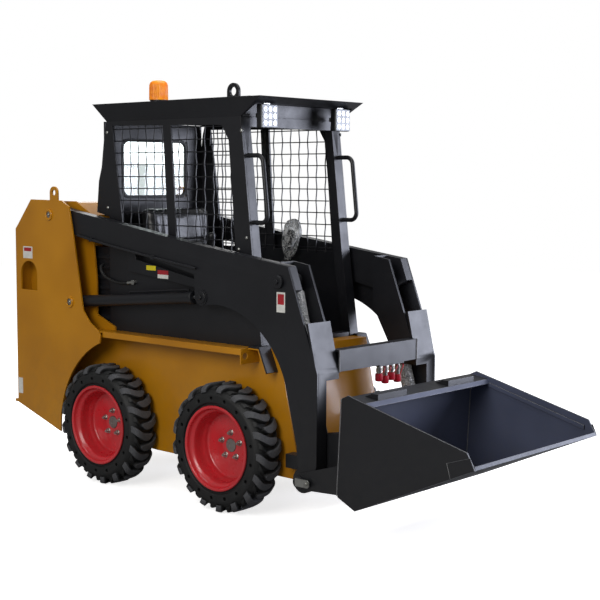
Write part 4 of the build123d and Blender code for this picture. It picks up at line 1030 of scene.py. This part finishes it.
AMBER = moulded("amber_acrylic", "#ff9a05", "#f27a00", 0.3, 0.0, 4.0)
BLACK_PLASTIC = moulded("black_abs", "#161719", "#101113", 0.42)
SOFT_RUBBER = moulded("black_moulded_rubber", "#141415", "#1b1b1c", 0.6, 0.0, 1.5, 0.15)
LAMP_FACE = moulded("clear_polycarbonate_face", "#85898d", "#73777b", 0.25)
REFLECTOR = bare_metal("bright_reflector", "#a4a6a8", "#7d8082", 0.34, 8)
RED_CAP = moulded("red_cap_rubber", "#c4142f", "#a81028", 0.42)
GLASS = moulded("toughened_glass", "#e6efee", "#dfeae9", 0.04, 0.95, 60.0, 0.0)
LABEL_WHITE = moulded("white_vinyl_label", "#d9d8d3", "#cbcac5", 0.3)
LABEL_RED = moulded("red_vinyl_label", "#a8232b", "#98202a", 0.3)
LABEL_YELLOW = moulded("yellow_vinyl_label", "#d9c81e", "#cbbb1c", 0.3)

# %% Work lamps
LAMP_FRONT, LAMP_Y, LAMP_MIDDLE_Z, LAMP_HALF = 190.0, 247.0, 1743.0, 51.0
LAMP_TOP, FACE_HALF, CELL_PITCH = LAMP_MIDDLE_Z + LAMP_HALF, LAMP_HALF - 1, 30.0
CELL = [(12.4, 0), (12.4, 1.8), (9.6, 2.2), (5.0, 0.9), (0.5, 0.9)]
CLAMP_BOLT = [(8, 0), (8, 8), (7, 9), (0.5, 9)]


def around(middle, half):
    """The two places that lie the same way off a middle."""
    return middle - half, middle + half


housing, faces, cells, clamps = Shell(), Shell(), Shell(), Shell()
for _, side in SIDES:
    y, x = side * LAMP_Y, LAMP_FRONT
    block(housing, (x - 34, x - 6), around(y, LAMP_HALF), around(LAMP_MIDDLE_Z, LAMP_HALF))
    block(faces, (x - 7, x), around(y, FACE_HALF), around(LAMP_MIDDLE_Z, FACE_HALF))
    for row in (-1, 0, 1):
        for column in (-1, 0, 1):
            place = (x - 0.5, y + column * CELL_PITCH, LAMP_MIDDLE_Z + row * CELL_PITCH)
            closed_lathe(cells, CELL, place, (1, 0, 0), 24)
    block(clamps, (x - 76, x - 30), around(y, 12), (LAMP_MIDDLE_Z - 6, LAMP_MIDDLE_Z + 14))
    block(clamps, (x - 30, x - 18), around(y, 20), (LAMP_TOP - 2, LAMP_TOP + 9))
    closed_lathe(clamps, CLAMP_BOLT, (x - 24, y, LAMP_TOP + 8), (0, 0, 1), 6)
soften(housing.made("work_lamp_housings", BLACK_PLASTIC, "root", ["work_lamps"]), 4.0, 3)
soften(faces.made("work_lamp_faces", LAMP_FACE, "root"), 5.0, 3)
cells.made("work_lamp_reflectors", REFLECTOR, "root", angle=50)
soften(clamps.made("work_lamp_clamps", ZINC, "root"), 1.2)

# %% Beacon
BEACON = np.array([-800.0, 0, 1826.0])
BEACON_FOOT = [(45.5, 0), (45.5, 4), (42, 7), (42, 30), (44, 32), (44, 34), (0.5, 34)]
BEACON_CAP = np.array([(47.5, 34), (47.5, 40), (46.4, 42), (46.2, 58), (45.8, 90), (45, 108), (42, 119),
                       (34, 127), (20, 130.4), (8, 131), (0.6, 131)], float)
RIBS, RIB_DEPTH, RIBBED = 32, 0.022, (41, 112)
foot, lens = Shell(), Shell()
closed_lathe(foot, BEACON_FOOT, BEACON, (0, 0, 1), 64)
foot.made("beacon_foot", BLACK_PLASTIC, "root", ["beacon_base"])
turns = np.arange(6 * RIBS) * 2 * np.pi / (6 * RIBS)
radius, height = BEACON_CAP[:, :1], BEACON_CAP[:, 1:]
ribs = 1 + RIB_DEPTH * np.cos(RIBS * turns)[None] * ((height > RIBBED[0]) & (height < RIBBED[1]))
rings = np.broadcast_arrays(radius * ribs * np.cos(turns), radius * ribs * np.sin(turns), height)
closed_rings(lens, np.stack(rings, -1) + BEACON)
lens.made("beacon_cap", AMBER, "root", ["beacon_lens"], angle=50)


# %% Rear window
def rounded_outline(half_wide, low_z, high_z, radius, steps=8):
    """A rectangle with round corners, as (across, up) in millimetres."""
    turns = np.linspace(0, np.pi / 2, steps)
    corners = ((half_wide - radius, high_z - radius, 0), (radius - half_wide, high_z - radius, 1),
               (radius - half_wide, low_z + radius, 2), (half_wide - radius, low_z + radius, 3))
    return [(y + radius * math.cos(t + quarter * np.pi / 2), z + radius * math.sin(t + quarter * np.pi / 2))
            for y, z, quarter in corners for t in turns]


def across_plate(shell, outline, x_one, x_two, holes=()):
    """A plate that faces forward: an outline of (across, up), between two places along the machine."""
    flat = Shell()
    plate(flat, outline, x_one, x_two, holes)
    shell.put(np.concatenate(flat.points)[:, [1, 0, 2]], flat.faces)


pane, seal = Shell(), Shell()
low, high = box_mm("rear_glass")
across_plate(pane, rounded_outline(212, low[2] + 1, high[2] - 1, 38), low[0] + 0.5, high[0] - 0.5)
pane.made("rear_window_pane", GLASS, "root", ["rear_glass"])
across_plate(seal, rounded_outline(221, low[2] - 7, high[2] + 7, 44), low[0] - 3, low[0] + 12,
             [rounded_outline(204, low[2] + 9, high[2] - 9, 32)])
soften(seal.made("rear_window_seal", SOFT_RUBBER, "root"), 2.5)
print("lamps, beacon and glass done")

# %% [markdown]
# ## Seat
# Foam under black vinyl. The cushion starts as a slightly small rounded block, is filled with
# pressure by the cloth solver so that its top crowns and its sides pull in between the corners,
# and then gets its sewn channels as grooves, because a seam is narrower than a cloth cell.


# %% Seat vinyl
def vinyl():
    """Black calendered vinyl under a thin packing film: a leather grain and long loose creases."""
    made, tree, shader, place = material("black_seat_vinyl")
    cells = add(tree, "ShaderNodeTexVoronoi", {"feature": "DISTANCE_TO_EDGE"}, Vector=place, Scale=1 / 0.004)
    creases = noise(tree, place, 55, 4.0, 0.6, 1.2)
    tone = ramp(tree, creases, 0.4, 0.7)
    tree.links.new(mixed(tree, tone, linear("#17181a"), linear("#26272a")), shader.inputs["Base Color"])
    shader.inputs["Roughness"].default_value = 0.38
    shader.inputs["Coat Weight"].default_value = 0.6
    shader.inputs["Coat Roughness"].default_value = 0.16
    fine = bumped(tree, shader, ramp(tree, cells.outputs[0], 0.0, 0.12), 0.12)
    bumped(tree, shader, creases, 5.0, fine)
    return made


VINYL = vinyl()

# %% Stuffing
FOAM_ROUND, FOAM_CELL, FOAM_PRESSURE, FOAM_FRAMES, FOAM_SWELL = 0.022, 0.009, 4.0, 16, 9.0


def vertex_values(mesh, kind):
    """The places or the normals of a mesh's points, as (count, 3)."""
    values = np.empty(len(mesh.vertices) * 3)
    mesh.vertices.foreach_get(kind, values)
    return values.reshape(-1, 3)


def applied(piece):
    """The piece's mesh with its modifiers worked in; the modifiers are taken off."""
    mesh = bpy.data.meshes.new_from_object(piece.evaluated_get(bpy.context.evaluated_depsgraph_get()))
    piece.modifiers.clear()
    return mesh


def stuffed(name, node, outline, half_wide, grooves):
    """A padded piece: a rounded block of the outline, swelled by cloth pressure, grooved and smoothed.
    A groove is an axis, a place on it, a depth and a width, in millimetres."""
    shell = Shell()
    plate(shell, outline, -half_wide, half_wide)
    piece = shell.made(name, VINYL, "root", [node])
    rounding = piece.modifiers.new("rounding", "BEVEL")
    rounding.width, rounding.segments = FOAM_ROUND, 3
    remesh = piece.modifiers.new("cells", "REMESH")
    remesh.mode, remesh.voxel_size = "VOXEL", FOAM_CELL
    piece.data = mesh = applied(piece)
    spots = vertex_values(mesh, "co")
    cloth = piece.modifiers.new("foam_pressure", "CLOTH")
    cloth.settings.use_pressure = True
    cloth.settings.uniform_pressure_force = FOAM_PRESSURE
    cloth.settings.effector_weights.gravity = 0
    cloth.settings.quality = 4
    for number in range(1, FOAM_FRAMES + 1):
        scene.frame_set(number)
    moved = vertex_values(applied(piece), "co") - spots
    size = np.linalg.norm(moved, axis=1, keepdims=True)
    spots = spots + moved * np.minimum(1, FOAM_SWELL * MM / np.maximum(size, 1e-9))
    for axis, place, depth, width in grooves:
        pull = depth * np.exp(-((spots[:, axis] / MM - place) / width) ** 2)
        spots = spots - vertex_values(mesh, "normal") * pull[:, None] * MM
    mesh.vertices.foreach_set("co", spots.ravel())
    mesh.polygons.foreach_set("use_smooth", np.ones(len(mesh.polygons), bool))
    mesh.update()
    smooth = piece.modifiers.new("smooth", "SUBSURF")
    smooth.levels = smooth.render_levels = 1


# %% Cushion and back
INSET = 7.0
low, high = box_mm("seat_cushion")
half_wide = high[1]
SIDE_SEAMS = [(1, side * 0.62 * half_wide, 4, 6) for side in (-1, 1)]
cushion_side = [(low[0] + INSET, low[2] + 1), (low[0] + INSET, high[2] - INSET),
                (high[0] - 60, high[2] - INSET), (high[0] - INSET, high[2] - 24),
                (high[0] - INSET, low[2] + 1)]
stuffed("seat_cushion_foam", "seat_cushion", cushion_side, half_wide - INSET,
        [(0, low[0] + 130, 5, 7), (0, low[0] + 260, 5, 7), *SIDE_SEAMS])
low, high = box_mm("seat_back")
back_side = [(high[0] - 4, low[2] + 2), (high[0] - 4, low[2] + 97), (high[0] - 52, high[2] - INSET),
             (high[0] - 112, high[2] - INSET), (high[0] - 84, low[2] + 2)]
stuffed("seat_back_foam", "seat_back", back_side, half_wide - INSET,
        [(2, low[2] + 150, 5, 7), (2, low[2] + 270, 5, 7), *SIDE_SEAMS])
print("seat done")

# %% [markdown]
# ## Controls
# A pressed box each side of the seat carries one lever: a chromed bar out of a pleated rubber
# boot, with a moulded grip. The boot is a lathe form whose radius steps in and out.

# %% Consoles, boots and levers
CONSOLE_Y = 268.0
LEVER_FOOT, LEVER_GRIP = np.array([-200.0, 0, 1030.0]), np.array([-150.0, 0, 1215.0])
LEAN = (LEVER_GRIP - LEVER_FOOT) / np.linalg.norm(LEVER_GRIP - LEVER_FOOT)
FOLDS, FOLD_PITCH = 5, 11
BOOT = [(33, -1), (33, 3)]
for fold in range(FOLDS):
    BOOT += [(31 - fold * 4.2, 5 + fold * FOLD_PITCH), (31.5 - fold * 4.2, 8 + fold * FOLD_PITCH),
             (25 - fold * 3.6, 12 + fold * FOLD_PITCH)]
BOOT += [(9, 62), (7, 63)]
GRIP = [(9, 0), (13, 4), (15.5, 14), (15, 30), (17, 44), (18.5, 56), (17.5, 66), (13, 72), (5, 74.4),
        (0.5, 74.6)]
consoles, boots, levers, grips = Shell(), Shell(), Shell(), Shell()
for _, side in SIDES:
    base = LEVER_FOOT + (0, side * CONSOLE_Y, 0)
    block(consoles, (-440, -150), around(side * CONSOLE_Y, 33), (901, 1030))
    closed_lathe(boots, BOOT, base, LEAN, 40)
    closed_bar(levers, [base + LEAN * 50, base + LEAN * 160], 7, 14)
    closed_lathe(grips, GRIP, base + LEAN * 132, LEAN, 32)
soften(consoles.made("control_consoles", CHARCOAL, "root", ["side_controls"]), 8.0, 3)
boots.made("lever_boots", SOFT_RUBBER, "root", angle=50)
levers.made("lever_bars", CHROME, "root")
grips.made("lever_grips", BLACK_PLASTIC, "root", angle=60)

# %% [markdown]
# ## Hoses, couplers and packing
# Two rubber hoses come out of the louvred panels and go back into the cab's sides. Quick couplers
# hang below the crossbar with red caps. Bubble film is still wrapped round the tilt cylinders.

# %% Side hoses
HOSE_ROUTE = [(-866, 300, 1052), (-858, 326, 1050), (-848, 344, 1034), (-822, 344, 1002), (-780, 344, 984),
              (-730, 344, 974), (-680, 344, 972), (-640, 343, 976), (-612, 338, 980)]
HOSE_NUT = [(11, -2), (11, 10), (13, 10), (13, 16), (0.5, 16)]
fittings = Shell()
for name, side in SIDES:
    curve = bpy.data.curves.new(f"side_hose_{name}", "CURVE")
    curve.dimensions = "3D"
    curve.bevel_depth = 6 * MM
    curve.bevel_resolution = 5
    curve.resolution_u = 8
    curve.use_fill_caps = True
    spline = curve.splines.new("NURBS")
    spline.points.add(len(HOSE_ROUTE) - 1)
    for point, (x, y, z) in zip(spline.points, HOSE_ROUTE):
        point.co = (x * MM, side * y * MM, z * MM, 1)
    spline.order_u = 3
    spline.use_endpoint_u = True
    curve.materials.append(SOFT_RUBBER)
    hose = bpy.data.objects.new(f"side_hose_{name}", curve)
    scene.collection.objects.link(hose)
    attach(hose, "root")
    closed_lathe(fittings, HOSE_NUT, (-608, side * 331, 980.5), (0, side, 0), 6)
    closed_bar(fittings, [(-646, side * 343.2, 975.6), (-606, side * 338, 981)], 8.4, 12)
soften(fittings.made("hose_end_fittings", ZINC, "root"), 0.6)

# %% Quick couplers
COUPLER_X, COUPLER_TOP, COUPLER_FIRST_Y, COUPLER_PITCH = 585, 662, 30, 44
COUPLER_DROPS = (0, 14, 4, 18)
caps, bodies, rail = Shell(), Shell(), Shell()
block(rail, (566, 604), (8, 186), (660, 668.5))
for number, drop in enumerate(COUPLER_DROPS):
    x, y = COUPLER_X, COUPLER_FIRST_Y + number * COUPLER_PITCH
    body = [(11, 0), (11, 12), (13, 13), (13, 30), (10.5, 31), (10.5, 48 + drop), (0.5, 48 + drop)]
    cap = [(14, 34), (16.5, 36), (17.2, 44), (17.2, 62), (15.5, 68), (9, 70), (0.5, 70)]
    strap = [(x + 14, y, 625 - drop), (x + 24, y + 6, 640), (x + 20, y + 20, 652), (x + 6, y + 22, 656)]
    closed_lathe(bodies, body, (x, y, COUPLER_TOP), (0, 0, -1), 24)
    closed_lathe(caps, cap, (x, y, COUPLER_TOP - drop), (0, 0, -1), 32)
    closed_bar(caps, rounded_path(strap, 12), 2.2, 8)
soften(rail.made("coupler_rail", CHARCOAL, "arms"), 1.2)
bodies.made("coupler_bodies", ZINC, "arms", angle=40)
caps.made("coupler_caps", RED_CAP, "arms", angle=45)


# %% Bubble film on the tilt cylinders
def bubble_film():
    """Clear bubble film in several layers: white where it folds, with round bubbles 10 mm apart."""
    made, tree, shader, place = material("clear_bubble_film")
    bubbles = add(tree, "ShaderNodeTexVoronoi", None, Vector=place, Scale=1 / 0.010)
    folds = ramp(tree, noise(tree, place, 24, 4.0, 0.6, 1.5), 0.4, 0.62)
    tree.links.new(mixed(tree, folds, linear("#c9ccd0"), linear("#fcfcfc")), shader.inputs["Base Color"])
    shader.inputs["Roughness"].default_value = 0.16
    shader.inputs["Transmission Weight"].default_value = 0.15
    fine = bumped(tree, shader, ramp(tree, bubbles.outputs["Distance"], 0.15, 0.5, 1, 0), 2.5)
    bumped(tree, shader, folds, 3.0, fine)
    return made


def rings_along(base, axis, levels, radius):
    """Rings round an axis whose radius, of shape (levels, count), changes with the turn."""
    _, one, two = frame_of(axis)
    turns = np.arange(radius.shape[1]) * 2 * np.pi / radius.shape[1]
    across = np.cos(turns)[None, :, None] * one + np.sin(turns)[None, :, None] * two
    return base + levels[:, None, None] * axis + radius[..., None] * across


WRAP_Y, WRAP_STEP, WRAP_AROUND, WRAP_CRUMPLE = 315.5, 5, 56, 0.75
# The two sleeves of a cylinder: where each starts and stops along it, and its mean radius.
SLEEVES = ((48, 250, 31.0), (395, 535, 31.5))
WRAP_LEAST, WRAP_MOST, WRAP_END = 28.4, 33.2, 28.2
tilt_line = np.array([181.0, 0, -667.0])
tilt_line /= np.linalg.norm(tilt_line)
wraps = Shell()
seeded = np.random.default_rng(7)
for _, side in SIDES:
    base = np.array([TILT_TOP[0], side * WRAP_Y, TILT_TOP[1]])
    for start, stop, girth in SLEEVES:
        rows = int((stop - start) / WRAP_STEP)
        turns = np.arange(WRAP_AROUND) * 2 * np.pi / WRAP_AROUND
        wave = sum(seeded.uniform(0.3, 1) * np.sin(k * turns[None] + seeded.uniform(0, 6)
                   + np.linspace(0, seeded.uniform(-6, 6), rows)[:, None]) for k in range(2, 9))
        radius = girth + WRAP_CRUMPLE * wave + seeded.uniform(-0.5, 0.5, (rows, WRAP_AROUND))
        radius = np.clip(radius, WRAP_LEAST, WRAP_MOST)
        radius[[0, -1]] = WRAP_END
        closed_rings(wraps, rings_along(base, tilt_line, np.linspace(start, stop, rows), radius))
wraps.made("cylinder_bubble_wraps", bubble_film(), "tilt_cylinder_barrels", angle=75)


# %% Thin bag over the left lever
def thin_film():
    """Thin clear film, white along its creases."""
    made, tree, shader, place = material("thin_clear_film")
    creases = ramp(tree, noise(tree, place, 30, 5.0, 0.65, 2.0), 0.42, 0.58)
    tree.links.new(mixed(tree, creases, linear("#c4c7c9"), linear("#f4f5f5")), shader.inputs["Base Color"])
    shader.inputs["Roughness"].default_value = 0.2
    tree.links.new(ramp(tree, creases, 0, 1, 0.95, 0.4), shader.inputs["Transmission Weight"])
    shader.inputs["IOR"].default_value = 1.1
    bumped(tree, shader, creases, 4.0)
    return made


BAG = np.array([(13, 0), (16, 12), (26, 30), (34, 60), (39, 95), (42, 130), (38, 165), (28, 190), (12, 203),
                (1, 206)], float)
BAG_FOOT = np.array([-176.0, 268.0, 1082.0])
BAG_ROWS, BAG_AROUND = 44, 72
# Folds of the bag: how many go round it, and how deep they are as a share of its radius.
BAG_FOLDS = ((3, 0.10), (5, 0.09), (8, 0.06), (13, 0.04))
levels = np.linspace(0, BAG[-1, 1], BAG_ROWS)
turns = np.arange(BAG_AROUND) * 2 * np.pi / BAG_AROUND
radius = np.interp(levels, BAG[:, 1], BAG[:, 0])[:, None] * np.ones((1, BAG_AROUND))
for waves, share in BAG_FOLDS:
    twist = np.sin(levels / seeded.uniform(24, 60) + seeded.uniform(0, 6))[:, None]
    radius = radius * (1 + share * np.sin(waves * turns[None] + 2.2 * twist + seeded.uniform(0, 6)))
bag = Shell()
closed_rings(bag, rings_along(BAG_FOOT, LEAN, levels, radius))
bag.made("lever_film_bag", thin_film(), "root", angle=75)

# %% Blank labels
LABELS = (
    # name, finish, body, distance from the middle, x from and to, z from and to
    ("arm_label_white", LABEL_WHITE, "arms", 412, (384, 432), (915, 1000)),
    ("arm_label_red", LABEL_RED, "arms", 412.4, (390, 426), (948, 992)),
    ("bar_label_yellow", LABEL_YELLOW, "arms", 362.4, (-490, -425), (1046, 1068)),
    ("bar_label_red", LABEL_RED, "arms", 362.4, (-412, -340), (1030, 1050)),
    ("bar_label_white", LABEL_WHITE, "arms", 362.4, (-412, -340), (1012, 1030)),
    ("upright_label_white", LABEL_WHITE, "root", 430, (-1348, -1272), (1068, 1128)),
    ("upright_label_red", LABEL_RED, "root", 430.4, (-1340, -1280), (1104, 1122)),
    ("upright_label_low", LABEL_WHITE, "root", 430, (-1405, -1368), (372, 452)),
)
for name, finish, body, y, x_span, z_span in LABELS:
    shell = Shell()
    block(shell, x_span, (-y - 0.8, -y + 0.4), z_span)
    shell.made(name, finish, body)

# %% Door latch
DOOR_FACE, LATCH_Y = -1411.0, -262.0
LATCH_PIVOT = [(9, 0), (9, 5), (8, 6), (0.5, 6)]
low, high = box_mm("rear_door")
latch_z = (low[2] + high[2]) / 2
latch, handle = Shell(), Shell()
block(latch, (DOOR_FACE - 3, DOOR_FACE + 1), (-300, -225), around(latch_z, 55))
block(handle, (DOOR_FACE - 14, DOOR_FACE - 2), (-290, -235), (latch_z - 12, latch_z + 40))
closed_lathe(handle, LATCH_PIVOT, (DOOR_FACE - 2.5, LATCH_Y, latch_z - 36), (-1, 0, 0), 24)
soften(latch.made("door_latch_plate", BLACK_PLASTIC, "engine_door"), 1.5)
soften(handle.made("door_latch_handle", ZINC, "engine_door"), 2.5, 3)

# %% Louvre hoods
LOUVRES, HOOD_MARGIN = 7, 18
# A hood's section: how far out of the panel, and how far above the slot.
HOOD = ((0, 16), (9, 4), (9, -7), (7.6, -7), (7.6, 3), (0, 12))
low, high = box_mm("louvre_panels")
pitch = (high[2] - low[2]) / (LOUVRES + 1)
hoods = Shell()
for _, side in SIDES:
    for number in range(LOUVRES):
        z = low[2] + pitch * (number + 1)
        ends = [[(x, side * (high[1] + out), z + rise) for out, rise in HOOD]
                for x in (low[0] + HOOD_MARGIN, high[0] - HOOD_MARGIN)]
        closed_rings(hoods, np.array(ends))
soften(hoods.made("louvre_hoods", CHARCOAL, "root"), 0.6)

# %% Bolts on the cab
DOME = [(8, -1), (8, 1), (7.6, 3), (5, 5), (0.5, 5.4)]
CAB_BOLTS = ((131, 1215), (83, 1163), (100, 1680), (-800, 1330), (-800, 1690))
cab_bolts = Shell()
for _, side in SIDES:
    for x, z in CAB_BOLTS:
        closed_lathe(cab_bolts, DOME, (x, side * CAB_FACE, z), (0, side, 0), 20)
cab_bolts.made("cab_dome_bolts", ZINC, "root", angle=50)

# %% Finishes of what keeps its CAD shape
softened("engine_block", IRON, 3.0)
for name, finish in (("upright_pins", STEEL), ("lift_rods", CHROME), ("tilt_rods", CHROME)):
    NODES[name].data.materials.clear()
    NODES[name].data.materials.append(finish)
print("finished nodes", len(NODES))
